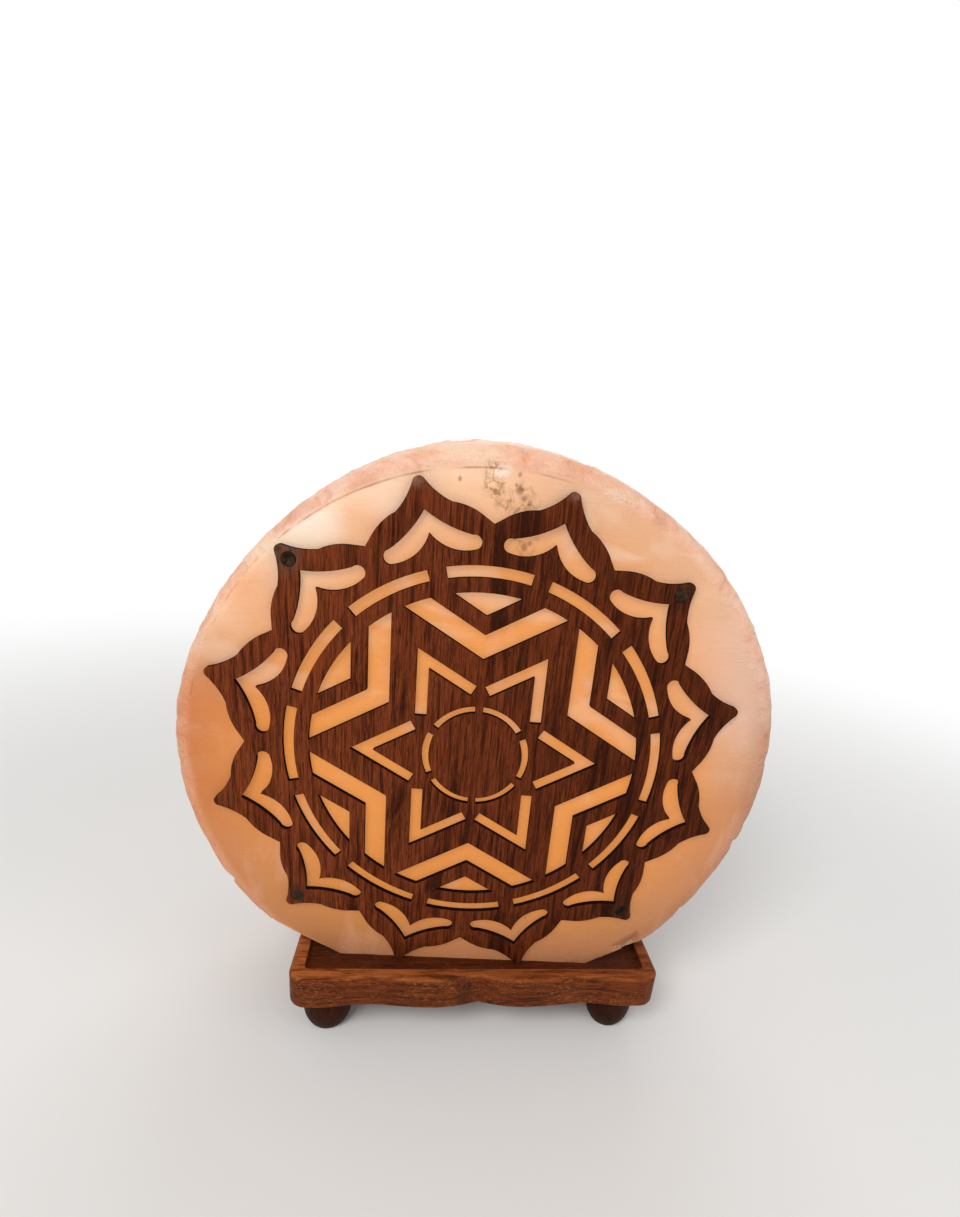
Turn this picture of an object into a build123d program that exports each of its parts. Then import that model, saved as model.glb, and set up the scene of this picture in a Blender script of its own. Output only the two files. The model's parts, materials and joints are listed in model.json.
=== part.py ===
from build123d import *
import math
import os

# Salt crystal lamp: a round block of rock salt with a fretwork disc on its face,
# standing on a small footed board, lit by a bulb holder that clips into a bore from below.
# Millimetres. Origin on the table under the middle of the salt, +Z up, the fretwork faces -Y.

# ---- driving dimensions ----

salt_radius = 104.5          # rim just behind the faces
salt_crown = 1.5             # how far the rim bulges between the faces
salt_thickness = 70.0
salt_edge = 5.5              # worn round edge between face and rim
salt_flat = 83.9             # from the middle of the salt down to its flat cut
salt_corner_reach = 97.2     # from the middle down to the knocked-off corners beside the flat
salt_corner_slope = 30.0     # degrees
salt_turn = -3.0             # the salt sits a little twisted on its board, degrees

bore_radius = 23.0
bore_depth = 105.0           # above the salt's flat cut
bore_end_round = 8.0

panel_thickness = 2.0
panel_shift_x = -2.7         # middle of the pattern from the middle of the salt
panel_shift_z = 5.7
petal_count = 12
petal_tip = 92.3             # radii of the pattern, outwards in
petal_valley = 77.7
leaf_tip = 82.8
leaf_cusp = 75.9
ring_outer = 65.2
ring_inner = 61.5
ring_half_span = 12.4        # degrees
fan_reach = 56.8
fan_corner = 49.4
chevron_reach = 56.7
chevron_notch = 43.2
chevron_elbow = 34.8
star_tip = 43.0
star_notch = 35.1
star_arm = 23.4              # length of each arm
eye_outer = 18.5
eye_inner = 16.2
eye_half_span = 25.5         # degrees

panel_screw_circle = 87.0    # radius of the four fixing screws
panel_screw_shank = 1.1
panel_screw_depth = 12.0     # into the salt
panel_head_radius = 2.3
panel_head_height = 0.6

board_length = 143.2
board_depth = 98.4
board_thickness = 13.9
board_shift = 3.6            # the board's middle lies this far right of the salt's
board_edge_round = 1.0       # bevel along its upper and lower rim
board_corner = 7.0
recess_length = 132.6
recess_width = 86.0
recess_depth = 2.0
recess_corner = 2.5

foot_height = 17.0
foot_radius = 9.0
foot_sole = 6.2
foot_spread_x = 57.6         # foot centres from the middle of the four
foot_spread_y = 36.0
foot_shift = 2.6             # the middle of the four from the middle of the salt
foot_screw_radius = 2.0
foot_screw_grip = 7.0        # thread in the board
foot_screw_head = 3.6
foot_screw_head_height = 2.2
foot_counterbore = 3.9
foot_counterbore_depth = 7.0

salt_screw_x = 37.0          # from the middle of the salt, on both sides
salt_screw_radius = 2.1
salt_screw_head = 4.1
salt_screw_sink = 2.4
salt_screw_grip = 22.0       # thread in the plug
salt_plug_radius = 4.0
salt_plug_length = 26.0
cross_slot = 0.9             # width of the driver slots in the larger screws

plate_radius = 28.0
plate_thickness = 1.2
plate_sink = 1.6             # the plate lies in a shallow counterbore under the board
plate_play = 0.5

clip_reach = 22.0            # middle of the clip's strip at its widest point
clip_thickness = 0.6
clip_width = 8.0
clip_shoulder = 11.0
clip_foot_x = 20.0
clip_height = 36.0
clip_play = 0.1              # between the plate and the clip's shoulders and tab

nipple_radius = 4.97
nipple_bore = 3.7
nut_across_flats = 14.0
nut_thickness = 3.0

socket_radius = 13.5
socket_room = 10.0           # inner radius under the terminal block
socket_ledge = 11.5          # inner radius round the terminal block
socket_throat = 8.2          # inner radius of the sleeve
cap_height = 17.4
sleeve_height = 26.0
block_rise = 8.4             # terminal block above the plate
block_inset = 3.0            # and below the cap's rim
terminal_x = 6.8
terminal_radius = 1.6
terminal_depth = 3.4         # of the screw holes in the block
terminal_sink = 0.6          # how deep the screw heads lie in them
tongue_thickness = 0.5
tongue_width = 4.4
shell_outer = 8.15
shell_inner_crest = 7.0      # smallest radius inside the brass sleeve
shell_ridges = 6
shell_ridge_rise = 8.0       # first ridge above the terminal block
thread_pitch = 2.82
thread_height = 0.35
thread_play = 0.1

bulb_length = 60.0
bulb_radius = 12.0
bulb_seat_rise = 8.5         # bulb tip above the terminal block
bulb_tip_height = 1.3
bulb_cap_foot = 6.0          # radius where the cap turns in round the insulator
bulb_cap_turns = 5
collar_radius = 7.9
collar_height = 5.2          # above the last turn of thread
sheet_wall = 0.35            # bulb cap metal
glass_wall = 0.7
stem_radius = 1.7
stem_rise = 36.0             # top of the glass rod above the bulb tip
lead_radius = 0.22
lead_spread = 4.0
lead_rise = 9.0              # above the glass rod
filament_radius = 0.3
filament_arch = 1.2

fit_gap = 0.03               # radial gap of parts that sit in one another
shank_gap = 0.1              # radial gap of the screws that pass through wood

# ---- levels, worked out from the above ----

board_bottom = foot_height
board_top = board_bottom + board_thickness
recess_floor = board_top - recess_depth
salt_mid = recess_floor + salt_flat
face_y = -salt_thickness / 2
pattern_mid = salt_mid + panel_shift_z
bore_top = recess_floor + bore_depth
plate_top = board_bottom + plate_sink
plate_bottom = plate_top - plate_thickness
cap_top = plate_top + cap_height
sleeve_top = cap_top + sleeve_height
block_bottom = plate_top + block_rise
block_top = cap_top - block_inset
terminal_top = block_bottom + terminal_depth
bulb_seat = block_top + bulb_seat_rise
bulb_cap_root = shell_inner_crest - thread_play - thread_height
bulb_thread_start = bulb_seat + 4.4
bulb_thread_end = bulb_thread_start + bulb_cap_turns * thread_pitch
collar_top = bulb_thread_end + collar_height
glass_mouth = bulb_thread_end + 3.4
glass_neck = collar_radius - sheet_wall - fit_gap
stem_top = bulb_seat + stem_rise
lead_top = stem_top + lead_rise


# ---- small helpers ----

def with_salt(shape):
    """Turns a piece that was drawn square to the salt into the salt's own heading."""
    return Rot(0, 0, salt_turn) * shape


def ring_of(shape, count, first=0.0):
    """Copies of a flat shape, turned about the middle of the pattern."""
    return [Rot(0, 0, first + 360 / count * i) * shape for i in range(count)]


def polar(radius, angle):
    return (radius * math.cos(math.radians(angle)), radius * math.sin(math.radians(angle)))


def flipped(point):
    return (point[0], -point[1])


def turned(edges):
    """A solid of revolution about the Z axis from edges drawn in X (radius) and Z."""
    return revolve(Plane.XZ * make_face(edges), Axis.Z)


def cylinder(radius, bottom, top, x=0.0, y=0.0):
    return Pos(x, y, (bottom + top) / 2) * Cylinder(radius, top - bottom)


def tube(outer, inner, bottom, top, x=0.0, y=0.0):
    return cylinder(outer, bottom, top, x, y) - cylinder(inner, bottom - 1, top + 1, x, y)


def into_face(radius, length, x, z, start):
    """A cylinder that runs from the depth start, square into the salt's face."""
    return Pos(x, start + length / 2, z) * Rot(90, 0, 0) * Cylinder(radius, length)


def driver_cross(x, y, level, reach, depth):
    """Two crossed slots, sunk by depth on either side of the level."""
    return [
        Pos(x, y, level) * Box(cross_slot, 2 * reach, 2 * depth),
        Pos(x, y, level) * Box(2 * reach, cross_slot, 2 * depth),
    ]


# ---- the salt ----

def panel_screw_places():
    """Middle of each fixing screw in the plane of the salt's face, as (x, z)."""
    places = []
    for angle in (45, 135, 225, 315):
        x, z = polar(panel_screw_circle, angle)
        places.append((x + panel_shift_x, z + pattern_mid))
    return places


def make_salt_disc():
    half = salt_thickness / 2
    inner = salt_radius - salt_edge
    crown = salt_radius + salt_crown
    rim = half - salt_edge
    bend = salt_edge * (1 - math.sqrt(0.5))
    outline = [
        Line((0, -half), (inner, -half)),
        ThreePointArc((inner, -half), (salt_radius - bend, -half + bend), (salt_radius, -rim)),
        ThreePointArc((salt_radius, -rim), (crown, 0), (salt_radius, rim)),
        ThreePointArc((salt_radius, rim), (salt_radius - bend, half - bend), (inner, half)),
        Line((inner, half), (0, half)),
        Line((0, half), (0, -half)),
    ]
    disc = Pos(0, 0, salt_mid) * revolve(make_face(outline), Axis.Y)
    below_flat = Box(3 * salt_radius, 3 * salt_radius, salt_radius)
    disc -= Pos(0, 0, recess_floor - salt_radius / 2) * below_flat
    for slope in (-salt_corner_slope, salt_corner_slope):
        below_corner = Pos(0, 0, -salt_corner_reach - salt_radius / 2) * below_flat
        disc -= Pos(0, 0, salt_mid) * Rot(0, slope, 0) * below_corner
    bore = cylinder(bore_radius, recess_floor - 1, bore_top)
    bore = fillet(bore.edges().sort_by(Axis.Z)[-1], bore_end_round)
    disc -= bore
    plug_top = recess_floor + salt_plug_length
    for x in (-salt_screw_x, salt_screw_x):
        disc -= cylinder(salt_plug_radius, recess_floor - 1, plug_top, x)
    for x, z in panel_screw_places():
        disc -= into_face(panel_screw_shank, panel_screw_depth, x, z, face_y)
    return with_salt(disc)


# ---- the fretwork disc: a star in twelve petals, drawn about its own middle ----

def petal_edge():
    """One petal of the rim, pointing along +X, from valley to valley."""
    valley = polar(petal_valley, 180 / petal_count)
    flank = (77.3, 18.0)
    shoulder = (81.3, 13.5)
    inflexion = (83.6, 8.5)
    neck = (87.0, 4.7)
    tip_side = (petal_tip - 1.1, 1.7)
    tip = (petal_tip, 0.0)
    return [
        Line(flipped(valley), flipped(flank)),
        ThreePointArc(flipped(flank), flipped(shoulder), flipped(inflexion)),
        ThreePointArc(flipped(inflexion), flipped(neck), flipped(tip_side)),
        ThreePointArc(flipped(tip_side), tip, tip_side),
        ThreePointArc(tip_side, neck, inflexion),
        ThreePointArc(inflexion, shoulder, flank),
        Line(flank, valley),
    ]


def panel_outline():
    edges = []
    step = 360 / petal_count
    for i in range(petal_count):
        edges += [Rot(0, 0, step * (i + 0.5)) * edge for edge in petal_edge()]
    return make_face(edges)


def leaf_hole():
    """The folded leaf inside each petal, along +X."""
    tip = (leaf_tip, 0.0)
    edge_mid = (77.6, 5.5)
    lobe_start = (73.1, 13.1)
    lobe_end = (70.5, 15.4)
    lobe_back = (68.5, 12.8)
    vein_mid = (70.4, 5.3)
    cusp = (leaf_cusp, 0.0)
    return make_face([
        ThreePointArc(tip, edge_mid, lobe_start),
        ThreePointArc(lobe_start, lobe_end, lobe_back),
        ThreePointArc(lobe_back, vein_mid, cusp),
        ThreePointArc(cusp, flipped(vein_mid), flipped(lobe_back)),
        ThreePointArc(flipped(lobe_back), flipped(lobe_end), flipped(lobe_start)),
        ThreePointArc(flipped(lobe_start), flipped(edge_mid), tip),
    ])


def arc_slot(inner, outer, half_span):
    """A slot along a circle, centred on +X."""
    return make_face([
        ThreePointArc(polar(inner, -half_span), (inner, 0), polar(inner, half_span)),
        Line(polar(inner, half_span), polar(outer, half_span)),
        ThreePointArc(polar(outer, half_span), (outer, 0), polar(outer, -half_span)),
        Line(polar(outer, -half_span), polar(inner, -half_span)),
    ])


def star_hole():
    """A V-shaped slot that makes one point of the star, its tip on +X."""
    along = polar(star_arm, 150)
    across = polar((star_tip - star_notch) / 2, 240)
    outer_end = (star_tip + along[0], along[1])
    inner_end = (outer_end[0] + across[0], outer_end[1] + across[1])
    corners = [(star_tip, 0), outer_end, inner_end]
    corners += [(star_notch, 0), flipped(inner_end), flipped(outer_end)]
    return make_face(Polyline(*corners, close=True))


def arm_end(start, reach):
    """Angle where an arm that leaves +X at 60 degrees from start meets the circle of that reach."""
    return 60 - math.degrees(math.asin(start * math.sin(math.radians(60)) / reach))


def chevron_hole():
    """The wide V between two points of the star, opening outwards, centred on +X."""
    outer_angle = arm_end(chevron_elbow, chevron_reach)
    inner_angle = arm_end(chevron_notch, chevron_reach)
    elbow = (chevron_elbow, 0)
    notch = (chevron_notch, 0)
    outer = polar(chevron_reach, outer_angle)
    inner = polar(chevron_reach, inner_angle)
    middle = polar(chevron_reach, (outer_angle + inner_angle) / 2)
    return make_face([
        Line(elbow, outer),
        ThreePointArc(outer, middle, inner),
        Line(inner, notch),
        Line(notch, flipped(inner)),
        ThreePointArc(flipped(inner), flipped(middle), flipped(outer)),
        Line(flipped(outer), elbow),
    ])


def fan_hole():
    """The small fan that fills each chevron, centred on +X."""
    corner = (fan_corner, 0)
    end = polar(fan_reach, arm_end(fan_corner, fan_reach))
    return make_face([
        Line(corner, end),
        ThreePointArc(end, (fan_reach, 0), flipped(end)),
        Line(flipped(end), corner),
    ])


def make_mandala_panel():
    cutouts = []
    cutouts += ring_of(leaf_hole(), petal_count, 15)
    cutouts += ring_of(arc_slot(ring_inner, ring_outer, ring_half_span), petal_count)
    cutouts += ring_of(chevron_hole(), 6, 30)
    cutouts += ring_of(fan_hole(), 6, 30)
    cutouts += ring_of(star_hole(), 6)
    cutouts += ring_of(arc_slot(eye_inner, eye_outer, eye_half_span), 6)
    fret = panel_outline() - cutouts
    middle = (panel_shift_x, face_y, pattern_mid)
    panel = extrude(Plane(origin=middle, x_dir=(1, 0, 0), z_dir=(0, -1, 0)) * fret, panel_thickness)
    front = face_y - panel_thickness
    for x, z in panel_screw_places():
        panel -= into_face(panel_screw_shank + fit_gap, panel_thickness + 2, x, z, front - 1)
        panel -= into_face(panel_head_radius + fit_gap, 1 + panel_head_height, x, z, front - 1)
    return with_salt(panel)


def make_panel_screws():
    """Four small screws whose heads lie flush in the panel."""
    front = face_y - panel_thickness
    under_head = front + panel_head_height
    length = face_y + panel_screw_depth - 0.5 - under_head
    slot = Box(0.5, 0.5, 2.6)
    screws = []
    for x, z in panel_screw_places():
        screw = into_face(panel_head_radius, panel_head_height, x, z, front)
        screw -= [Pos(x, front, z) * Rot(0, angle, 0) * slot for angle in (30, 120)]
        screw += into_face(panel_screw_shank - fit_gap, length, x, z, under_head)
        screws.append(with_salt(screw))
    return Compound(children=screws)


# ---- the board and its feet ----

def board_outline(inset=0.0):
    """Bracket-shaped edge: front and rear with two lobes and a notch, hollow sides."""
    half_x = board_length / 2 - inset
    half_y = board_depth / 2 - inset
    corner_radius = board_corner - inset
    notch = (0, half_y - 2.7)
    lobe_start = (6.5, half_y - 0.75)
    lobe = (17.0, half_y + 0.5)
    lobe_end = (26.0, half_y + 0.14)
    inflexion = (34.0, half_y - 0.78)
    hollow = (42.0, half_y - 1.4)
    hollow_end = (52.0, half_y - 0.5)
    shoulder_start = (56.0, half_y + 0.05)
    shoulder = (60.0, half_y + 0.23)
    corner = (half_x - corner_radius, shoulder[1])
    corner_inset = corner_radius * (1 - math.sqrt(0.5))
    corner_middle = (half_x - corner_inset, shoulder[1] - corner_inset)
    side = (half_x, shoulder[1] - corner_radius)
    waist = (half_x - 0.5, 0)
    quarter = [
        ThreePointArc(notch, lobe_start, lobe),
        ThreePointArc(lobe, lobe_end, inflexion),
        ThreePointArc(inflexion, hollow, hollow_end),
        ThreePointArc(hollow_end, shoulder_start, shoulder),
        Line(shoulder, corner),
        ThreePointArc(corner, corner_middle, side),
    ]
    right = quarter + [mirror(edge, Plane.XZ) for edge in quarter]
    right.append(ThreePointArc(side, waist, flipped(side)))
    return make_face(right + [mirror(edge, Plane.YZ) for edge in right])


def foot_places():
    places = {}
    for depth, y in (("front", -foot_spread_y), ("rear", foot_spread_y)):
        for hand, x in (("left", -foot_spread_x), ("right", foot_spread_x)):
            places[f"foot_{depth}_{hand}"] = (foot_shift + x, y)
    return places


def salt_screw_places():
    """Middles of the two screws, which lie on the salt's own long line, as (x, y)."""
    return [polar(salt_screw_x, salt_turn + angle) for angle in (180, 0)]


def make_base_board():
    outline = Pos(board_shift, 0, 0) * board_outline()
    rim = Pos(board_shift, 0, 0) * board_outline(board_edge_round)
    low = board_bottom + board_edge_round
    high = board_top - board_edge_round

    def slab(lower, lower_level, upper, upper_level):
        sections = [(Pos(0, 0, lower_level) * lower).face(), (Pos(0, 0, upper_level) * upper).face()]
        return loft(sections, ruled=True)

    board = slab(outline, low, outline, high)
    board += slab(outline, high, rim, board_top)
    board += slab(rim, board_bottom, outline, low)
    recess = RectangleRounded(recess_length, recess_width, recess_corner)
    board -= extrude(Pos(board_shift, 0, recess_floor) * recess, recess_depth + 1)
    board -= cylinder(bore_radius, board_bottom - 1, board_top)
    board -= cylinder(plate_radius + plate_play, board_bottom - 1, plate_top)
    for x, y in foot_places().values():
        board -= cylinder(foot_screw_radius, board_bottom - 1, board_bottom + foot_screw_grip, x, y)
    for x, y in salt_screw_places():
        board -= cylinder(salt_screw_radius + shank_gap, board_bottom - 1, board_top, x, y)
        sink = Cone(salt_screw_head, salt_screw_radius, salt_screw_sink)
        board -= Pos(x, y, board_bottom + salt_screw_sink / 2) * sink
    return board


def make_foot(x, y):
    """A turned bun foot with a counterbored screw hole."""
    belly = foot_radius + 0.3
    belly_level = 9.0
    foot = turned([
        Line((0, 0), (foot_sole, 0)),
        ThreePointArc((foot_sole, 0), (belly - 0.9, 3.8), (belly, belly_level)),
        ThreePointArc((belly, belly_level), (belly - 0.05, 13.5), (foot_radius, foot_height)),
        Line((foot_radius, foot_height), (0, foot_height)),
        Line((0, foot_height), (0, 0)),
    ])
    foot -= cylinder(foot_counterbore, -1, foot_counterbore_depth)
    foot -= cylinder(foot_screw_radius + shank_gap, 0, foot_height + 1)
    return Pos(x, y, 0) * foot


def make_foot_screws():
    """Round-headed wood screws, head in the foot and thread in the board."""
    under_head = foot_counterbore_depth
    crown = under_head - foot_screw_head_height
    tip = board_bottom + foot_screw_grip - 0.5
    screws = []
    for x, y in foot_places().values():
        screw = cylinder(foot_screw_head, crown, under_head, x, y)
        screw = fillet(screw.edges().sort_by(Axis.Z)[0], 1.4)
        screw -= driver_cross(x, y, crown, 2.3, 1.0)
        screw += cylinder(foot_screw_radius - fit_gap, under_head, tip, x, y)
        screws.append(screw)
    return Compound(children=screws)


def make_salt_screws():
    """Countersunk screws from under the board into the salt."""
    play = 0.05
    tip = recess_floor + salt_screw_grip
    screws = []
    for x, y in salt_screw_places():
        head = Cone(salt_screw_head - play, salt_screw_radius - play, salt_screw_sink - 2 * play)
        screw = Pos(x, y, board_bottom + salt_screw_sink / 2) * head
        screw -= driver_cross(x, y, board_bottom, 2.2, 1.1)
        head_top = board_bottom + salt_screw_sink - play - 0.01
        screw += cylinder(salt_screw_radius - fit_gap, head_top, tip, x, y)
        screws.append(screw)
    return Compound(children=screws)


def make_salt_plugs():
    """Ribbed plastic plugs, a push fit in the salt."""
    groove_step = 4.0
    groove_width = 1.2
    groove_depth = 0.5
    top = recess_floor + salt_plug_length - 0.5
    plugs = []
    for x, y in salt_screw_places():
        plug = cylinder(salt_plug_radius - fit_gap, recess_floor, top, x, y)
        plug -= cylinder(salt_screw_radius, recess_floor - 1, recess_floor + salt_screw_grip + 1, x, y)
        for i in range(1, 6):
            level = recess_floor + groove_step * i
            groove_floor = salt_plug_radius - groove_depth
            plug -= tube(salt_plug_radius + 1, groove_floor, level, level + groove_width, x, y)
        plugs.append(plug)
    return Compound(children=plugs)


# ---- the plate that closes the bore, with its two clips ----

def make_holder_plate():
    plate = cylinder(plate_radius, plate_bottom, plate_top)
    plate -= cylinder(nipple_radius + fit_gap, plate_bottom - 1, plate_top + 1)
    for side in (-1, 1):
        slot = Box(clip_thickness + 0.8, clip_width + 0.6, 10)
        plate -= Pos(side * clip_foot_x, 0, plate_top) * slot
    return plate


def make_spring_clip(side):
    """A bowed strip with shoulders on the plate and a T-shaped tab under it."""
    shoulder_height = 3.0
    tab_height = 1.9
    shoulder_bottom = plate_top + clip_play
    tab_top = plate_bottom - clip_play
    neck_top = plate_top + 1.0
    neck_bottom = tab_top - tab_height
    foot = (clip_foot_x, shoulder_bottom)
    widest = (clip_reach, plate_top + clip_height * 0.55)
    top = (clip_reach - 3.2, plate_top + clip_height)
    bow = ThreePointArc(foot, widest, top)
    strip = extrude(Plane.XZ * trace(bow, clip_thickness), clip_width / 2, both=True)
    shoulder = Box(clip_thickness, clip_shoulder, shoulder_height)
    strip += Pos(clip_foot_x, 0, shoulder_bottom + shoulder_height / 2) * shoulder
    neck = Box(clip_thickness, clip_width, neck_top - neck_bottom)
    strip += Pos(clip_foot_x, 0, (neck_top + neck_bottom) / 2) * neck
    tab = Box(clip_thickness, clip_shoulder, tab_height)
    strip += Pos(clip_foot_x, 0, tab_top - tab_height / 2) * tab
    if side < 0:
        strip = mirror(strip, Plane.YZ)
    return strip


def make_nipple():
    bottom = plate_bottom - nut_thickness - 1.0
    return tube(nipple_radius, nipple_bore, bottom, plate_top + 6.0)


def make_nipple_nut():
    nut = extrude(RegularPolygon(nut_across_flats / 2, 6, major_radius=False), nut_thickness)
    nut = Pos(0, 0, plate_bottom - nut_thickness) * nut
    return nut - cylinder(nipple_radius + fit_gap, plate_bottom - 10, plate_bottom + 1)


# ---- the lamp holder ----

def make_socket_cap():
    """Cup that screws on the nipple, with an inner ledge for the terminal block."""
    floor = 3.0
    cap = cylinder(socket_radius, plate_top, cap_top)
    cap = fillet(cap.edges().sort_by(Axis.Z)[0], 2.0)
    cap -= cylinder(nipple_radius + fit_gap, plate_top - 1, cap_top)
    cap -= cylinder(socket_room, plate_top + floor, cap_top + 1)
    cap -= cylinder(socket_ledge, block_bottom, cap_top + 1)
    return cap


def make_socket_body():
    """Sleeve that presses into the cap and holds the brass shell."""
    groove_depth = 0.6
    groove_width = 2.0
    body = cylinder(socket_radius, cap_top, sleeve_top)
    body = fillet(body.edges().sort_by(Axis.Z)[-1], 1.0)
    body += cylinder(socket_ledge - fit_gap, block_top, cap_top + 1)
    body -= cylinder(socket_throat, block_top - 1, sleeve_top + 1)
    for i in range(1, 4):
        level = cap_top + 5.0 * i
        body -= tube(socket_radius + 1, socket_radius - groove_depth, level, level + groove_width)
    return body


def rolled_thread(radius, start, turns, height):
    """Side view of a rolled screw thread: one arc for each turn."""
    edges = []
    for i in range(turns):
        low = start + i * thread_pitch
        crest = (radius + height, low + thread_pitch / 2)
        edges.append(ThreePointArc((radius, low), crest, (radius, low + thread_pitch)))
    return edges


def make_socket_shell():
    """Brass sleeve standing on the terminal block, its rolled ridges facing in."""
    root = shell_inner_crest + thread_height
    ridge_start = block_top + shell_ridge_rise
    ridge_end = ridge_start + shell_ridges * thread_pitch
    top = ridge_end + 0.6
    edges = [
        Line((shell_outer, block_top), (shell_outer, top)),
        Line((shell_outer, top), (root, top)),
        Line((root, top), (root, ridge_end)),
        Line((root, ridge_start), (root, block_top)),
        Line((root, block_top), (shell_outer, block_top)),
    ]
    return turned(edges + rolled_thread(root, ridge_start, shell_ridges, -thread_height))


def make_terminal_block():
    block = cylinder(socket_ledge - fit_gap, block_bottom, block_top)
    for x in (-terminal_x, terminal_x):
        block -= cylinder(terminal_radius, block_bottom - 1, terminal_top, x)
    return block


def make_terminal_screws():
    head = block_bottom + terminal_sink
    screws = []
    for x in (-terminal_x, terminal_x):
        screw = cylinder(terminal_radius - fit_gap, head, terminal_top, x)
        screw -= Pos(x, 0, head) * Box(0.6, 4.0, 1.2)
        screws.append(screw)
    return Compound(children=screws)


def make_socket_contact():
    """Bent spring tongue whose raised end meets the tip of the bulb."""
    low = block_top + tongue_thickness / 2
    high = bulb_seat - tongue_thickness / 2 - 0.02
    path = FilletPolyline((-4.5, low), (4.6, low), (-1.0, high), (2.6, high), radius=0.7)
    return extrude(Plane.XZ * trace(path, tongue_thickness), tongue_width / 2, both=True)


# ---- the bulb ----

def make_bulb_contact():
    """The solder tip under the cap."""
    flat = 0.9
    rim = 2.5
    top = bulb_seat + bulb_tip_height
    return turned([
        Line((0, bulb_seat), (flat, bulb_seat)),
        ThreePointArc((flat, bulb_seat), (2.0, bulb_seat + 0.4), (rim, top)),
        Line((rim, top), (0, top)),
        Line((0, top), (0, bulb_seat)),
    ])


def make_bulb_insulator():
    """Black glass cone between the solder tip and the cap."""
    low = bulb_seat + bulb_tip_height + 0.05
    top = bulb_thread_start - 0.4
    narrow = 3.4
    return turned([
        Line((0, low), (narrow, low)),
        Line((narrow, low), (bulb_cap_foot, top)),
        Line((bulb_cap_foot, top), (0, top)),
        Line((0, top), (0, low)),
    ])


def make_bulb_cap():
    """Thin rolled shell, closed at the foot by the insulator and flared to the glass."""
    foot = bulb_thread_start - 0.4
    root = bulb_cap_root
    inner = root - sheet_wall
    flare = bulb_thread_end + 1.4
    collar = bulb_thread_end + 3.0
    collar_inner = collar_radius - sheet_wall
    lip = 0.2
    edges = [
        Line((bulb_cap_foot, foot), (root, foot)),
        Line((root, foot), (root, bulb_thread_start)),
        Line((root, bulb_thread_end), (root, flare)),
        Line((root, flare), (collar_radius, collar)),
        Line((collar_radius, collar), (collar_radius, collar_top)),
        Line((collar_radius, collar_top), (collar_inner, collar_top)),
        Line((collar_inner, collar_top), (collar_inner, collar + lip)),
        Line((collar_inner, collar + lip), (inner, flare + lip)),
        Line((inner, flare + lip), (inner, foot + sheet_wall)),
        Line((inner, foot + sheet_wall), (bulb_cap_foot, foot + sheet_wall)),
        Line((bulb_cap_foot, foot + sheet_wall), (bulb_cap_foot, foot)),
    ]
    return turned(edges + rolled_thread(root, bulb_thread_start, bulb_cap_turns, thread_height))


def make_bulb_glass():
    """Blown envelope: a straight neck that swells into a rounded pear."""
    top = bulb_seat + bulb_length
    belly = top - bulb_radius
    rise = (collar_top + belly) / 2

    def profile(inset):
        neck = glass_neck - inset
        swell = (glass_neck + bulb_radius) / 2 + 1.2 - inset
        widest = bulb_radius - inset
        bend = bulb_radius * math.sqrt(0.5) - inset * 0.7
        return [
            Line((neck, glass_mouth), (neck, collar_top)),
            ThreePointArc((neck, collar_top), (swell - 1.8, rise - 3.0), (swell, rise)),
            ThreePointArc((swell, rise), (widest - 0.45, belly - 4.4), (widest, belly)),
            ThreePointArc((widest, belly), (bend, belly + bend), (0, top - inset)),
        ]

    ends = [
        Line((glass_neck, glass_mouth), (glass_neck - glass_wall, glass_mouth)),
        Line((0, top), (0, top - glass_wall)),
    ]
    return turned(profile(0) + profile(glass_wall) + ends)


def make_bulb_stem():
    """Flared glass foot sealed in the neck, drawn up into a rod."""
    skirt = glass_neck - glass_wall - fit_gap
    rod_start = glass_mouth + 10.0
    hollow = glass_mouth + 2.0
    return turned([
        Line((0, hollow), (skirt - 1.0, glass_mouth)),
        Line((skirt - 1.0, glass_mouth), (skirt, glass_mouth)),
        ThreePointArc((skirt, glass_mouth), (3.2, glass_mouth + 5.0), (stem_radius, rod_start)),
        Line((stem_radius, rod_start), (stem_radius, stem_top)),
        Line((stem_radius, stem_top), (0, stem_top)),
        Line((0, stem_top), (0, hollow)),
    ])


def make_bulb_leads():
    """Two wires that leave the sides of the rod and spread to the filament's ends."""
    beside_rod = stem_radius + lead_radius + fit_gap
    leads = []
    for side in (-1, 1):
        start = (side * beside_rod, 0, stem_top - 4.0)
        knee = (side * beside_rod, 0, stem_top + 1.5)
        end = (side * lead_spread, 0, lead_top)
        path = FilletPolyline(start, knee, end, radius=2.0)
        section = Plane(origin=start, z_dir=(0, 0, 1)) * Circle(lead_radius)
        leads.append(sweep(section, path=path))
    return Compound(children=leads)


def make_bulb_filament():
    """Fine bar arched between the tops of the leads."""
    level = lead_top + filament_radius
    crown = (0, 0, level + filament_arch)
    path = ThreePointArc((-lead_spread, 0, level), crown, (lead_spread, 0, level))
    section = Plane(origin=path @ 0, z_dir=path % 0) * Circle(filament_radius)
    return sweep(section, path=path)


# ---- every piece under its own name ----

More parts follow.
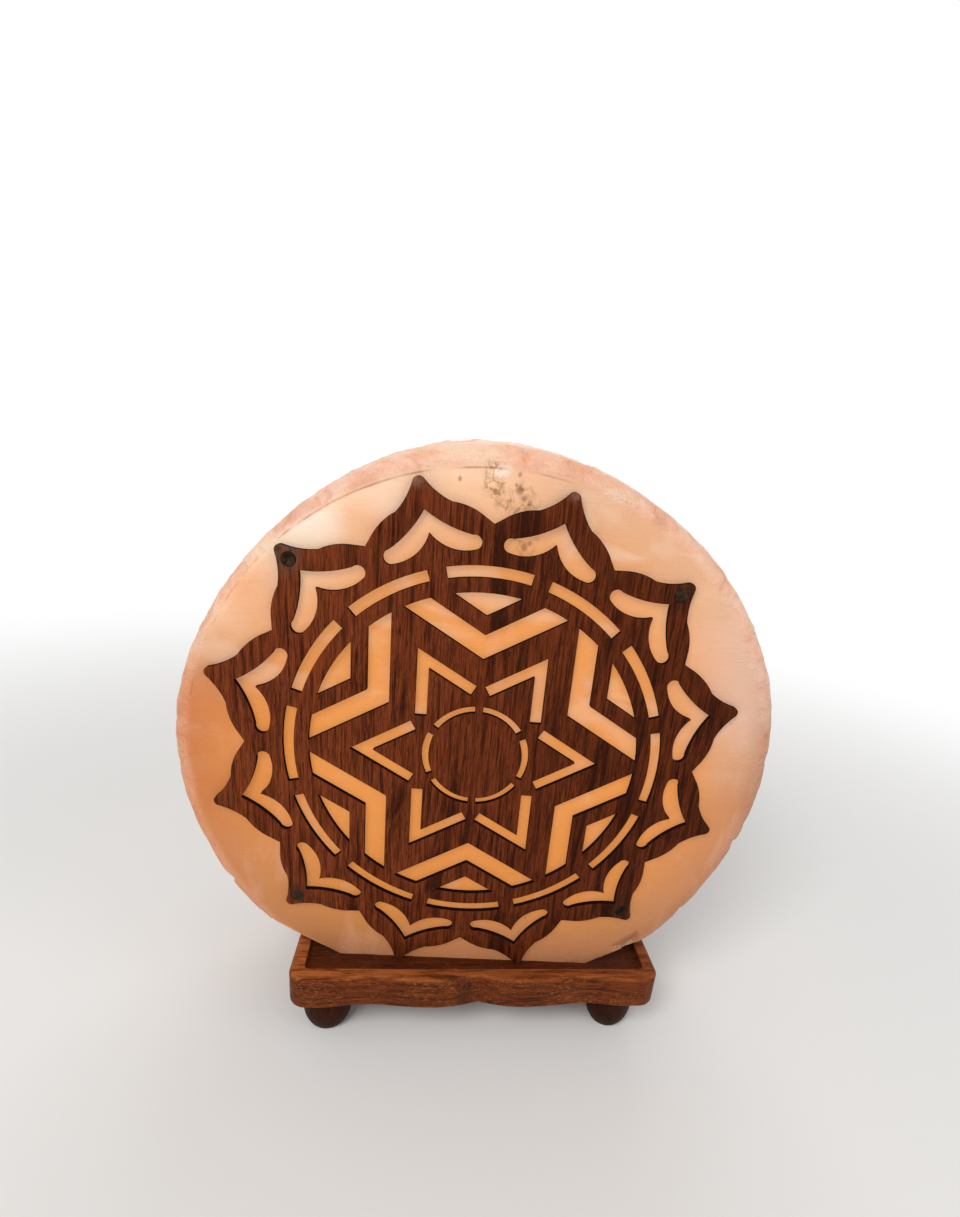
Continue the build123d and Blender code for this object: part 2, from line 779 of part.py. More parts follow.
def main():
    os.makedirs("parts", exist_ok=True)
    pieces = {
        "salt_disc": make_salt_disc(),
        "mandala_panel": make_mandala_panel(),
        "panel_screws": make_panel_screws(),
        "base_board": make_base_board(),
        "foot_screws": make_foot_screws(),
        "salt_screws": make_salt_screws(),
        "salt_plugs": make_salt_plugs(),
        "holder_plate": make_holder_plate(),
        "spring_clip_left": make_spring_clip(-1),
        "spring_clip_right": make_spring_clip(1),
        "nipple": make_nipple(),
        "nipple_nut": make_nipple_nut(),
        "socket_cap": make_socket_cap(),
        "socket_body": make_socket_body(),
        "socket_shell": make_socket_shell(),
        "terminal_block": make_terminal_block(),
        "terminal_screws": make_terminal_screws(),
        "socket_contact": make_socket_contact(),
        "bulb_contact": make_bulb_contact(),
        "bulb_insulator": make_bulb_insulator(),
        "bulb_cap": make_bulb_cap(),
        "bulb_glass": make_bulb_glass(),
        "bulb_stem": make_bulb_stem(),
        "bulb_leads": make_bulb_leads(),
        "bulb_filament": make_bulb_filament(),
    }
    for name, (x, y) in foot_places().items():
        pieces[name] = make_foot(x, y)
    for name, piece in pieces.items():
        export_step(piece, f"parts/{name}.step")


main()
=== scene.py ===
import json
import math
import random

import bmesh
import bpy
from mathutils import Matrix, Vector, noise


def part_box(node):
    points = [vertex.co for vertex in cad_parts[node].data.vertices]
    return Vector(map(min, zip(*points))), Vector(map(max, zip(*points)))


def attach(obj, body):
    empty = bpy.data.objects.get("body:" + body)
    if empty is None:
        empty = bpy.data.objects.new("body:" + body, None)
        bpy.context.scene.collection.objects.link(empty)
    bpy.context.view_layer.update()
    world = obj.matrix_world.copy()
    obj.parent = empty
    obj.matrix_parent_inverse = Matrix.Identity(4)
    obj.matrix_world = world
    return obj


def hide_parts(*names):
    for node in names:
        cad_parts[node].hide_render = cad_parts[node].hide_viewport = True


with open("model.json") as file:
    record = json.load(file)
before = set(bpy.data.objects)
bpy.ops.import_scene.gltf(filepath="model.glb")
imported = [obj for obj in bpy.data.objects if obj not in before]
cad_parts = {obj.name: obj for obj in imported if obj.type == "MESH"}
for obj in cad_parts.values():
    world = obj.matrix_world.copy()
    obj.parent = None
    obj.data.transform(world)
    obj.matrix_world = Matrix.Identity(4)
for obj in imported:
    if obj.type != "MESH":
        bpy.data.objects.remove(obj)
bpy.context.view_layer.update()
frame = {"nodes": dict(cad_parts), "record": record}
nodes = frame["nodes"]
slotOf = {part["node"]: part["material_slot"] for part in frame["record"]["subparts"]}
bodyOf = {node: body for body, held in frame["record"]["behaviour"]["bodies"].items() for node in held}
mm = 0.001
print("frame loaded,", len(nodes), "parts")


# where things are, read off the frame, in metres

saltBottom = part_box("salt_disc")[0].z
panelLow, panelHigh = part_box("mandala_panel")
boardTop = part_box("base_board")[1].z
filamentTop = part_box("bulb_filament")[1].z
lamp = {
    "turn": math.radians(-3),         # the salt's twist on its board
    "saltMiddle": saltBottom + 83.9 * mm,
    "saltFlat": saltBottom,           # its flat cut, on the floor of the board's recess
    "halfThick": 35 * mm,
    "panelThick": 2 * mm,
    "patternX": -2.7 * mm,            # middle of the pattern, before the twist
    "patternZ": (panelLow.z + panelHigh.z) / 2,
}
saltTwist = Matrix.Rotation(lamp["turn"], 4, "Z")


# meshes

def newPiece(name, bm, node):
    # a finished piece that stands for one part of the frame, on that part's body
    mesh = bpy.data.meshes.new(name)
    bm.to_mesh(mesh)
    bm.free()
    piece = bpy.data.objects.new(name, mesh)
    bpy.context.scene.collection.objects.link(piece)
    mesh.materials.append(finishes[slotOf[node]])
    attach(piece, bodyOf[node])
    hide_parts(node)
    return piece


def smoothUpTo(bm, degrees):
    # smooth faces, with a hard edge wherever the surface turns by more than this
    for face in bm.faces:
        face.smooth = True
    for edge in bm.edges:
        if len(edge.link_faces) == 2:
            edge.smooth = edge.calc_face_angle(0) < math.radians(degrees)


def fromCad(node):
    # a merged copy of a part's own mesh, with its flat faces whole again
    merge, flat = 0.002 * mm, math.radians(0.5)
    bm = bmesh.new()
    bm.from_mesh(nodes[node].data)
    bmesh.ops.remove_doubles(bm, verts=bm.verts, dist=merge)
    bmesh.ops.dissolve_limit(bm, angle_limit=flat, verts=bm.verts, edges=bm.edges)
    return bm


def breakEdges(bm, width, sharperThan, segments):
    sharp = [e for e in bm.edges
             if len(e.link_faces) == 2 and e.calc_face_angle(0) > math.radians(sharperThan)]
    bmesh.ops.bevel(bm, geom=sharp, offset=width, offset_type="OFFSET", segments=segments,
                    profile=0.5, affect="EDGES", clamp_overlap=True, material=-1)


# nodes for the materials

def seen(red, green, blue):
    # a colour as it is seen on a screen, 0 to 255, for a node's socket
    share = [c / 255 for c in (red, green, blue)]
    linear = [c / 12.92 if c <= 0.04045 else ((c + 0.055) / 1.055) ** 2.4 for c in share]
    return (*linear, 1.0)


def feed(tree, socket, value):
    if isinstance(value, bpy.types.NodeSocket):
        tree.links.new(value, socket)
    else:
        socket.default_value = value


def put(tree, kind, inputs=None, **settings):
    node = tree.nodes.new("ShaderNode" + kind)
    for name, value in settings.items():
        setattr(node, name, value)
    for name, value in (inputs or {}).items():
        feed(tree, node.inputs[name], value)
    return node


def calc(tree, operation, first, second=0.0, third=0.0, clamp=False):
    node = put(tree, "Math", operation=operation, use_clamp=clamp)
    for socket, value in zip(node.inputs, (first, second, third)):
        feed(tree, socket, value)
    return node.outputs[0]


def times(tree, *values):
    result = values[0]
    for value in values[1:]:
        result = calc(tree, "MULTIPLY", result, value)
    return result


def greatest(tree, values):
    result = values[0]
    for value in values[1:]:
        result = calc(tree, "MAXIMUM", result, value)
    return result


def tint(tree, amount, first, second, mode="MIX"):
    node = put(tree, "Mix", data_type="RGBA", blend_type=mode)
    feed(tree, node.inputs[0], amount)
    feed(tree, node.inputs[6], first)
    feed(tree, node.inputs[7], second)
    return node.outputs[2]


def step(tree, value, low, high):
    # 0 below low, 1 above high, smooth between; low above high turns it round
    node = put(tree, "MapRange", interpolation_type="SMOOTHSTEP")
    for name, given in (("Value", value), ("From Min", low), ("From Max", high)):
        feed(tree, node.inputs[name], given)
    return node.outputs["Result"]


def scaled(tree, vector, size, turn=(0, 0, 0), shift=(0, 0, 0)):
    inputs = {"Vector": vector, "Scale": size, "Rotation": turn, "Location": shift}
    return put(tree, "Mapping", inputs).outputs[0]


def grain(tree, vector, scale=1.0, detail=2.0, rough=0.5, warp=0.0):
    inputs = {"Vector": vector, "Scale": scale, "Detail": detail, "Roughness": rough, "Distortion": warp}
    return put(tree, "TexNoise", inputs).outputs[0]


def newGroup(name, inputs, outputs):
    tree = bpy.data.node_groups.new(name, "ShaderNodeTree")
    kinds = {"v": "NodeSocketVector", "f": "NodeSocketFloat", "c": "NodeSocketColor"}
    for label, kind, default in inputs:
        socket = tree.interface.new_socket(label, in_out="INPUT", socket_type=kinds[kind])
        if default is not None:
            socket.default_value = default
    for label, kind in outputs:
        tree.interface.new_socket(label, in_out="OUTPUT", socket_type=kinds[kind])
    return tree, tree.nodes.new("NodeGroupInput").outputs, tree.nodes.new("NodeGroupOutput").inputs


def useGroup(tree, group, inputs):
    node = tree.nodes.new("ShaderNodeGroup")
    node.node_tree = group
    for name, value in inputs.items():
        feed(tree, node.inputs[name], value)
    return node.outputs


def directRays(tree):
    # 1 for what is seen straight, mirrored or through glass, 0 for light on its way
    rays = put(tree, "LightPath").outputs
    return greatest(tree, [rays[kind] for kind in ("Is Camera Ray", "Is Glossy Ray", "Is Transmission Ray")])


def newMaterial(name, **fixed):
    # a Principled surface with coordinates in millimetres; fixed sockets are the same all over
    material = bpy.data.materials.new(name)
    material.use_nodes = True
    tree = material.node_tree
    tree.nodes.clear()
    shader = put(tree, "BsdfPrincipled")
    put(tree, "OutputMaterial", {"Surface": shader.outputs[0]})
    for label, value in fixed.items():
        shader.inputs[label.replace("_", " ")].default_value = value
    place = put(tree, "TexCoord").outputs["Object"]
    return material, tree, shader, scaled(tree, place, (1000, 1000, 1000))


def addBump(tree, shader, height, depth):
    # depth is the height of the relief in millimetres
    bump = put(tree, "Bump", {"Strength": 1.0, "Distance": depth * mm, "Height": height})
    tree.links.new(bump.outputs[0], shader.inputs["Normal"])


# effects that several finishes share

woodScales = {                        # how fine each pattern is, twice across the grain and along it
    "bands": (0.1, 0.1, 0.012),
    "streaks": (0.7, 0.7, 0.035),
    "fibre": (2.4, 2.4, 0.13),
    "pores": (3.4, 3.4, 0.2),
    "clouds": (0.13, 0.13, 0.06),
    "pale": (1.9, 1.9, 0.035),
    "flecks": (1.5, 1.5, 0.55),
}


def makeWoodGrain():
    # the grain runs along Z, lengths in millimetres
    inputs = [("Place", "v", None), ("Light", "c", None), ("Middle", "c", None), ("Dark", "c", None),
              ("Bands", "f", 0.5), ("Streaks", "f", 0.6), ("Flecks", "f", 0.0), ("Fleck", "c", None)]
    outputs = [("Color", "c"), ("Roughness", "f"), ("Height", "f")]
    tree, given, out = newGroup("wood grain", inputs, outputs)

    def spread(name, turn=(0, 0, 0)):
        return scaled(tree, given["Place"], woodScales[name], turn)

    bands = grain(tree, spread("bands"), 1.0, 4.0, 0.62, 0.8)
    streak = grain(tree, spread("streaks"), 1.0, 4.0, 0.7, 0.5)
    fibre = grain(tree, spread("fibre", (0.02, 0.03, 0)), 1.0, 3.0, 0.7)
    pores = grain(tree, spread("pores"))
    clouds = grain(tree, spread("clouds"), 1.0, 3.0, 0.6)
    colour = tint(tree, step(tree, fibre, 0.3, 0.7), given["Middle"], given["Light"])
    band = times(tree, step(tree, bands, 0.52, 0.68), given["Bands"])
    dark = times(tree, step(tree, streak, 0.42, 0.66), given["Streaks"])
    colour = tint(tree, calc(tree, "MAXIMUM", band, dark), colour, given["Dark"])
    pale = times(tree, step(tree, grain(tree, spread("pale")), 0.58, 0.7), 0.4)
    colour = tint(tree, pale, colour, given["Light"])
    pore = step(tree, pores, 0.58, 0.68)
    colour = tint(tree, times(tree, pore, 0.7), colour, given["Dark"])
    fleck = step(tree, grain(tree, spread("flecks"), 1.0, 3.0, 0.75), 0.54, 0.64)
    fleck = times(tree, fleck, step(tree, clouds, 0.4, 0.6), given["Flecks"])
    colour = tint(tree, fleck, colour, given["Fleck"])
    tree.links.new(colour, out["Color"])
    rough = calc(tree, "MULTIPLY_ADD", fibre, 0.22, 0.42)
    tree.links.new(calc(tree, "MULTIPLY_ADD", pore, 0.12, rough), out["Roughness"])
    tree.links.new(calc(tree, "MULTIPLY_ADD", pore, -0.6, fibre), out["Height"])
    return tree


def makeHandled():
    # finger marks, dust and fine scratches on metal, plastic and glass
    inputs = [("Place", "v", None), ("Clean", "c", None), ("Dull", "c", None), ("Amount", "f", 0.5),
              ("Shine", "f", 0.3)]
    outputs = [("Color", "c"), ("Roughness", "f"), ("Height", "f")]
    tree, given, out = newGroup("handled surface", inputs, outputs)
    place = given["Place"]
    smear = grain(tree, scaled(tree, place, (0.22, 0.22, 0.22)), 1.0, 4.0, 0.65, 0.8)
    speck = grain(tree, scaled(tree, place, (3.1, 3.1, 3.1)), 1.0, 2.0, 0.6)
    scratch = grain(tree, scaled(tree, place, (0.5, 9.0, 6.0), (0.3, 0.2, 0.5)), 1.0, 2.0, 0.5)
    mark = times(tree, step(tree, smear, 0.42, 0.68), given["Amount"])
    colour = tint(tree, mark, given["Clean"], given["Dull"])
    spots = times(tree, step(tree, speck, 0.62, 0.75), given["Amount"])
    tree.links.new(tint(tree, spots, colour, given["Dull"]), out["Color"])
    rough = calc(tree, "MULTIPLY_ADD", mark, 0.35, given["Shine"])
    tree.links.new(calc(tree, "MULTIPLY_ADD", scratch, 0.12, rough, clamp=True), out["Roughness"])
    tree.links.new(calc(tree, "MULTIPLY_ADD", scratch, 0.5, speck), out["Height"])
    return tree


def makeSoftPatch():
    # 1 in the middle of an ellipse, 0 outside it
    inputs = [("Place", "v", None), ("Middle", "v", None), ("Size", "v", None), ("Warp", "f", 0.0)]
    tree, given, out = newGroup("soft patch", inputs, [("Amount", "f")])
    apart = put(tree, "VectorMath", {0: given["Place"], 1: given["Middle"]}, operation="SUBTRACT").outputs[0]
    share = put(tree, "VectorMath", {0: apart, 1: given["Size"]}, operation="DIVIDE").outputs[0]
    far = put(tree, "VectorMath", {0: share}, operation="LENGTH").outputs["Value"]
    tree.links.new(step(tree, calc(tree, "ADD", far, given["Warp"]), 1.2, 0.25), out["Amount"])
    return tree


woodGrain = makeWoodGrain()
handled = makeHandled()
softPatch = makeSoftPatch()


def softSpot(tree, place, middle, size, warp=0.0):
    inputs = {"Place": place, "Middle": middle, "Size": size, "Warp": warp}
    return useGroup(tree, softPatch, inputs)["Amount"]


# finishes

saltLook = {
    "high": seen(253, 208, 172),      # the pale peach, painted lighter on the upper face as if lit from above
    "low": seen(180, 120, 74),        # painted shade: darker low on the face, where it turns to the shade
    "paintedDeepOrange": seen(242, 152, 68),      # painted glow: the deeper orange of light coming through the salt, behind the panel
    "rim": seen(246, 214, 192),
    "pink": seen(240, 184, 160),
    "rust": seen(178, 108, 74),
    "hollow": seen(218, 132, 84),     # deep in the broken rim
    "shade": seen(150, 100, 74),      # round the lower right
    "lowShade": seen(196, 134, 98),   # low on the face, over the board
    "milk": seen(255, 232, 208),
    "smoke": seen(206, 154, 110),
    "mineral": seen(146, 98, 56),
    "grain": seen(132, 78, 44),
    "faceAt": -35,                    # the front face, in y
    "paintedLightFades": (-92.0, 88.0),           # heights between which the painted shade low turns to the painted light high
    "paintedDeepOrangeFades": (104.0, 62.0),      # how far from the middle the painted deeper orange reaches
    "rimFades": (98.0, 101.0),
    "creaseAt": 99.3,
    "lowShadeSpot": ((16, -35, -84), (84, 30, 24)),
    "paintedGlow": (0.05, 0.33, 0.17),       # painted glow: emission beside the panel, behind it, and what is added higher up
    "matt": 0.5,                      # how much less light the face throws back where the painted glow is
    "tonesAndPaintedLight": [                      # the salt's own colour patches and, partly, painted light and shade, lighter up left and darker low down: colour, middle x and z, size x and z, strength
        (seen(205, 120, 60), -98, -2, 46, 50, 0.9),
        (seen(255, 228, 203), -62, 82, 42, 30, 0.85),
        (seen(222, 186, 166), 96, 40, 40, 52, 0.75),
        (seen(224, 172, 134), 46, 88, 52, 30, 0.75),
        (seen(206, 134, 78), -84, -46, 40, 34, 0.6),
        (seen(200, 134, 92), 92, -24, 40, 56, 0.8),
        (seen(236, 168, 118), -76, 58, 12, 14, 0.6), (seen(240, 178, 128), -44, 80, 9, 9, 0.6),
        (seen(255, 240, 226), -60, 79, 14, 7, 0.7), (seen(255, 240, 226), -2.1, 98.8, 3.5, 3, 0.8)],
    "smokes": [                       # stained veins: x, z, size x and z
        (-4.5, 96.4, 3.0, 6.5), (-2.6, 93.2, 3.0, 4.5), (0.4, 89.8, 4.0, 4.5), (3.6, 87.6, 5.5, 3.0),
        (4.4, 93.6, 3.0, 3.6), (5.6, 91.2, 3.4, 4.4), (7.8, 89.4, 4.0, 3.6), (5.6, 80.2, 4.2, 3.0),
        (10.6, 81.2, 3.0, 2.6), (7.0, 77.2, 4.5, 3.5)],
    "grains": [                       # dark mineral grains: x, z, size
        (3.6, 98.1, 0.8), (4.0, 93.8, 1.5), (2.9, 95.0, 0.7), (5.6, 91.4, 1.2), (7.2, 90.2, 1.0),
        (6.9, 77.2, 1.3), (8.6, 78.4, 0.8), (-14.1, 95.1, 0.8), (-3.4, 92.6, 0.7), (22.1, -62.9, 0.5)],
}


def patchesOver(tree, colour, place, tonesAndPaintedLight, warp):
    for shade, x, z, width, height, strength in tonesAndPaintedLight:
        here = softSpot(tree, place, (x, saltLook["faceAt"], z), (width, 70, height), warp)
        colour = tint(tree, times(tree, here, strength), colour, shade)
    return colour


def spotsOnFace(tree, place, spots, warp):
    # the strongest of many small spots on the front face: x, z, width, height
    shown = [softSpot(tree, place, (x, saltLook["faceAt"], z), (width, 40, height), warp)
             for x, z, width, height in spots]
    return greatest(tree, shown)


def makeRockSalt():
    look = saltLook
    fixed = {"Subsurface_Weight": 0.5, "Subsurface_Radius": (1.0, 0.45, 0.22), "Subsurface_Scale": 7 * mm,
             # the emission carries the painted glow set up further down
             "IOR": 1.54, "Specular_IOR_Level": 0.3, "Emission_Strength": 1.0}
    material, tree, shader, place = newMaterial("rock salt", **fixed)
    local = scaled(tree, place, (1, 1, 1), (0, 0, -lamp["turn"]), (0, 0, -lamp["saltMiddle"] / mm))
    across, depth, up = put(tree, "SeparateXYZ", {"Vector": local}).outputs
    onFace = step(tree, depth, -28.0, -31.0)
    cloud = grain(tree, local, 0.018, 4.0, 0.55, 0.5)
    drift = grain(tree, scaled(tree, local, (0.02, 0.02, 0.05), (0.2, 0.5, 0.4)), 1.0, 3.0, 0.5, 1.0)
    squares = times(tree, across, across), times(tree, up, up)
    away = calc(tree, "SQRT", calc(tree, "ADD", *squares))
    waver = calc(tree, "MULTIPLY_ADD", cloud, 0.9, -0.45)
    height = calc(tree, "MULTIPLY_ADD", waver, 26.0, up)
    # painted light and shade: the face lighter towards the top, darker towards the bottom
    colour = tint(tree, step(tree, height, *look["paintedLightFades"]), look["low"], look["high"])
    # colour patches, partly the salt's own tone, partly painted highlights and painted shade
    colour = patchesOver(tree, colour, local, look["tonesAndPaintedLight"], waver)
    # painted glow: deeper orange towards the middle, weaker on the rear, for light coming through the salt
    paintedDeepOrange = step(tree, calc(tree, "MULTIPLY_ADD", waver, 20.0, away), *look["paintedDeepOrangeFades"])
    paintedDeepOrange = times(tree, paintedDeepOrange, calc(tree, "MULTIPLY_ADD", onFace, 0.45, 0.45))
    colour = tint(tree, paintedDeepOrange, colour, look["paintedDeepOrange"])
    lowShade = softSpot(tree, local, *look["lowShadeSpot"], waver)
    colour = tint(tree, times(tree, lowShade, 0.6), colour, look["lowShade"])
    # milky and glassy zones inside the crystal
    milk = times(tree, step(tree, drift, 0.5, 0.66), step(tree, height, -20.0, 60.0))
    colour = tint(tree, times(tree, milk, 0.3), colour, look["milk"])
    glassy = grain(tree, scaled(tree, local, (0.07, 0.03, 0.025), (0, 0.25, 0)), 1.0, 4.0, 0.6, 0.4)
    colour = tint(tree, times(tree, step(tree, glassy, 0.5, 0.72), 0.3), colour, look["pink"])
    # the rough rim, paler and pinker, with rusty clouds and orange hollows
    edge = step(tree, calc(tree, "MULTIPLY_ADD", waver, 3.0, away), *look["rimFades"])
    streaks = grain(tree, scaled(tree, local, (0.06, 0.12, 0.06)), 1.0, 5.0, 0.65, 0.7)
    rim = tint(tree, step(tree, streaks, 0.4, 0.66), look["pink"], look["rim"])
    onTop = calc(tree, "MULTIPLY_ADD", step(tree, up, 10.0, 84.0), 0.36, 0.24)
    colour = tint(tree, times(tree, edge, onTop), colour, rim)
    rusty = times(tree, step(tree, streaks, 0.44, 0.34), edge, onTop, 0.45)
    colour = tint(tree, rusty, colour, look["rust"])
    hollows = step(tree, grain(tree, local, 0.032, 5.0, 0.6, 0.6), 0.48, 0.7)
    colour = tint(tree, times(tree, edge, hollows, 0.5), colour, look["hollow"])
    # a thin rust-coloured line along the crease between the face and the rim, at the upper left
    wander = calc(tree, "MULTIPLY_ADD", waver, 1.2, away)
    gap = calc(tree, "ABSOLUTE", calc(tree, "SUBTRACT", wander, look["creaseAt"]))
    creaseBreaks = step(tree, grain(tree, local, 0.06, 4.0, 0.7), 0.4, 0.6)
    upLeft = step(tree, calc(tree, "MULTIPLY_ADD", across, -0.8, up), 60.0, 110.0)
    crease = times(tree, step(tree, gap, 0.5, 0.05), creaseBreaks, onFace, upLeft, 0.6)
    colour = tint(tree, crease, colour, look["rust"])
    # the lower right of the rim lies in the shade
    sideways = calc(tree, "MULTIPLY", across, 0.6)
    lowRight = step(tree, calc(tree, "MULTIPLY_ADD", up, -0.8, sideways), 5.0, 75.0)
    outer = step(tree, calc(tree, "MULTIPLY_ADD", waver, 4.0, away), 93.0, 103.0)
    colour = tint(tree, times(tree, outer, lowRight, 0.55), colour, look["shade"])
    # smoky veins and dark grains near the top of the face
    fret = grain(tree, local, 0.34, 4.0, 0.7)
    warp = calc(tree, "MULTIPLY_ADD", grain(tree, local, 0.22, 3.0, 0.6), 1.8, -0.9)
    smoke = times(tree, spotsOnFace(tree, local, look["smokes"], warp), onFace)
    colour = tint(tree, times(tree, smoke, step(tree, fret, 0.38, 0.66), 0.8), colour, look["smoke"])
    ridge = calc(tree, "ABSOLUTE", calc(tree, "SUBTRACT", grain(tree, local, 0.24, 2.0, 0.5, 0.4), 0.5))
    colour = tint(tree, times(tree, smoke, step(tree, ridge, 0.05, 0.0), 0.6), colour, look["mineral"])
    grains = [(x, z, size, size * 1.3) for x, z, size in look["grains"]]
    specks = times(tree, spotsOnFace(tree, local, grains, warp), onFace, 0.6)
    colour = tint(tree, specks, colour, look["grain"])
    # painted glow: emission behind the fretwork stands in for light from all round the block coming out
    # again
    beside, behind, higher = look["paintedGlow"]
    near = calc(tree, "MULTIPLY_ADD", waver, 14.0, away)
    within = times(tree, step(tree, near, 101.0, 76.0), onFace)
    lit = calc(tree, "MULTIPLY_ADD", within, -look["matt"], 1.0)
    upward = calc(tree, "MULTIPLY_ADD", step(tree, up, -95.0, 5.0), higher, behind)
    through = calc(tree, "MULTIPLY_ADD", within, upward, beside)
    for share, socket in ((lit, "Base Color"), (through, "Emission Color")):
        part = put(tree, "VectorMath", {0: colour, "Scale": share}, operation="SCALE").outputs[0]
        tree.links.new(part, shader.inputs[socket])
    # a dry sawn face and a pitted rim
    fine = grain(tree, local, 1.9, 4.0, 0.7)
    tree.links.new(calc(tree, "MULTIPLY_ADD", fine, 0.3, 0.36), shader.inputs["Roughness"])
    saw = grain(tree, scaled(tree, local, (0.1, 1.2, 0.9), (0.0, 0.4, 0.2)), 1.0, 3.0, 0.6)
    relief = calc(tree, "MULTIPLY_ADD", saw, 0.8, fine)
    pitted = step(tree, grain(tree, local, 0.3, 4.0, 0.6), 0.62, 0.36)
    rimRelief = calc(tree, "MULTIPLY_ADD", pitted, -1.6, calc(tree, "MULTIPLY", streaks, 2.0))
    addBump(tree, shader, calc(tree, "MULTIPLY_ADD", edge, rimRelief, relief), 0.3)
    return material


fretLook = {
    "grain": {"Light": seen(134, 64, 33), "Middle": seen(98, 42, 17), "Dark": seen(38, 11, 3),
              "Bands": 0.85, "Streaks": 0.85, "Flecks": 0.15, "Fleck": seen(152, 92, 56)},
    "paintedShadeRight": (0.5, 0.47, 0.4, 1),    # painted shade: the right side darker, as a share of the left
    "soot": (seen(17, 6, 4), seen(38, 16, 9)),
    "wear": [                         # rubbed places: colour, x, z, size, strength
        (seen(150, 108, 84), -26.6, 90.0, 4.0, 0.75), (seen(150, 108, 84), 21.2, 90.0, 3.6, 0.6),
        (seen(92, 76, 60), -65.0, 62.5, 5.5, 0.8), (seen(40, 24, 16), -58.0, 56.0, 5.0, 0.5),
        (seen(64, 44, 30), 59.5, 63.5, 3.5, 0.5), (seen(120, 84, 60), -93.0, 18.0, 3.0, 0.5),
        (seen(58, 44, 36), -64.2, -61.5, 4.5, 0.5), (seen(58, 44, 36), 58.8, -61.5, 4.5, 0.4)],
}


def makeFretWood():
    look = fretLook
    material, tree, shader, place = newMaterial("fret wood", Specular_IOR_Level=0.05)
    local = scaled(tree, place, (1, 1, 1), (0, 0, -lamp["turn"]), (0, 0, -lamp["patternZ"] / mm))
    wood = useGroup(tree, woodGrain, {"Place": local, **look["grain"]})
    across = put(tree, "SeparateXYZ", {"Vector": local}).outputs["X"]
    # painted shade: the panel darker towards the right, away from the light
    colour = tint(tree, step(tree, across, -80.0, 110.0), wood["Color"], look["paintedShadeRight"], "MULTIPLY")
    rub = grain(tree, local, 0.5, 3.0, 0.7)
    for shade, x, z, size, strength in look["wear"]:
        here = softSpot(tree, local, (x, -37, z), (size, 9, size * 1.2))
        colour = tint(tree, times(tree, here, step(tree, rub, 0.3, 0.6), strength), colour, shade)
    # the sawn walls are charred: everything that does not face the front
    front = (math.sin(lamp["turn"]), -math.cos(lamp["turn"]), 0)
    normal = put(tree, "NewGeometry").outputs["True Normal"]
    facing = put(tree, "VectorMath", {0: normal, 1: front}, operation="DOT_PRODUCT").outputs["Value"]
    char = step(tree, calc(tree, "ABSOLUTE", facing), 0.85, 0.3)
    soot = tint(tree, step(tree, grain(tree, local, 0.9), 0.4, 0.7), *look["soot"])
    tree.links.new(tint(tree, char, colour, soot), shader.inputs["Base Color"])
    rough = calc(tree, "MAXIMUM", wood["Roughness"], times(tree, char, 0.9))
    tree.links.new(rough, shader.inputs["Roughness"])
    addBump(tree, shader, wood["Height"], 0.12)
    return material


boardLook = {
    "grain": {"Light": seen(130, 62, 22), "Middle": seen(96, 40, 11), "Dark": seen(44, 15, 5),
              "Bands": 0.9, "Streaks": 0.75, "Flecks": 0.5, "Fleck": seen(178, 114, 54)},
    "worn": seen(196, 112, 56),       # wear and painted highlight along the upper edge, most on the left
    "wornDeep": (1.4, 0.1),           # from the top, where it starts and is full
    "notch": seen(46, 18, 8),         # the shade in the notch of the front edge
    "notchAt": (-3, -48, 24),
    "notchScale": (0.14, 0.5, 0.07),
    "recess": seen(54, 20, 9),        # the shaded floor that the salt stands on
    "recessAt": 3.8,                  # its middle in x
    "recessHalf": (66.3, 43),
}


def makeBoardWood():
    look = boardLook
    material, tree, shader, place = newMaterial("board wood", Specular_IOR_Level=0.1)
    along = scaled(tree, place, (1, 1, 1), (0, math.radians(90), 0))
    wood = useGroup(tree, woodGrain, {"Place": along, **look["grain"]})
    across, depth, up = put(tree, "SeparateXYZ", {"Vector": place}).outputs
    top = boardTop / mm
    floor = lamp["saltFlat"] / mm
    low, high = look["wornDeep"]
    patchy = grain(tree, scaled(tree, place, (0.05, 0.4, 0.3)), 1.0, 4.0, 0.65)
    # wear and painted highlight: the upper edge lighter, most towards the lit left
    leftward = calc(tree, "MULTIPLY_ADD", step(tree, across, 10.0, -60.0), 0.3, 0.4)
    worn = times(tree, step(tree, up, top - low, top - high), step(tree, patchy, 0.36, 0.62), leftward)
    colour = tint(tree, worn, wood["Color"], look["worn"])
    notch = put(tree, "VectorMath", {0: place, 1: look["notchAt"]}, operation="SUBTRACT").outputs[0]
    notch = scaled(tree, notch, look["notchScale"])
    notch = put(tree, "VectorMath", {0: notch}, operation="LENGTH").outputs["Value"]
    colour = tint(tree, times(tree, step(tree, notch, 1.0, 0.2), 0.5), colour, look["notch"])
    halfX, halfY = look["recessHalf"]
    beside = calc(tree, "ABSOLUTE", calc(tree, "SUBTRACT", across, look["recessAt"]))
    before = calc(tree, "ABSOLUTE", depth)
    out = calc(tree, "MAXIMUM", calc(tree, "DIVIDE", beside, halfX), calc(tree, "DIVIDE", before, halfY))
    shade = times(tree, step(tree, out, 1.002, 0.995), step(tree, up, floor - 1, floor), 0.55)
    colour = tint(tree, shade, colour, look["recess"])
    tree.links.new(colour, shader.inputs["Base Color"])
    tree.links.new(wood["Roughness"], shader.inputs["Roughness"])
    addBump(tree, shader, wood["Height"], 0.2)
    return material


footLook = {"Light": seen(64, 30, 14), "Middle": seen(46, 19, 8), "Dark": seen(25, 8, 3),
            "Bands": 0.4, "Streaks": 0.6, "Flecks": 0.1, "Fleck": seen(110, 64, 38)}


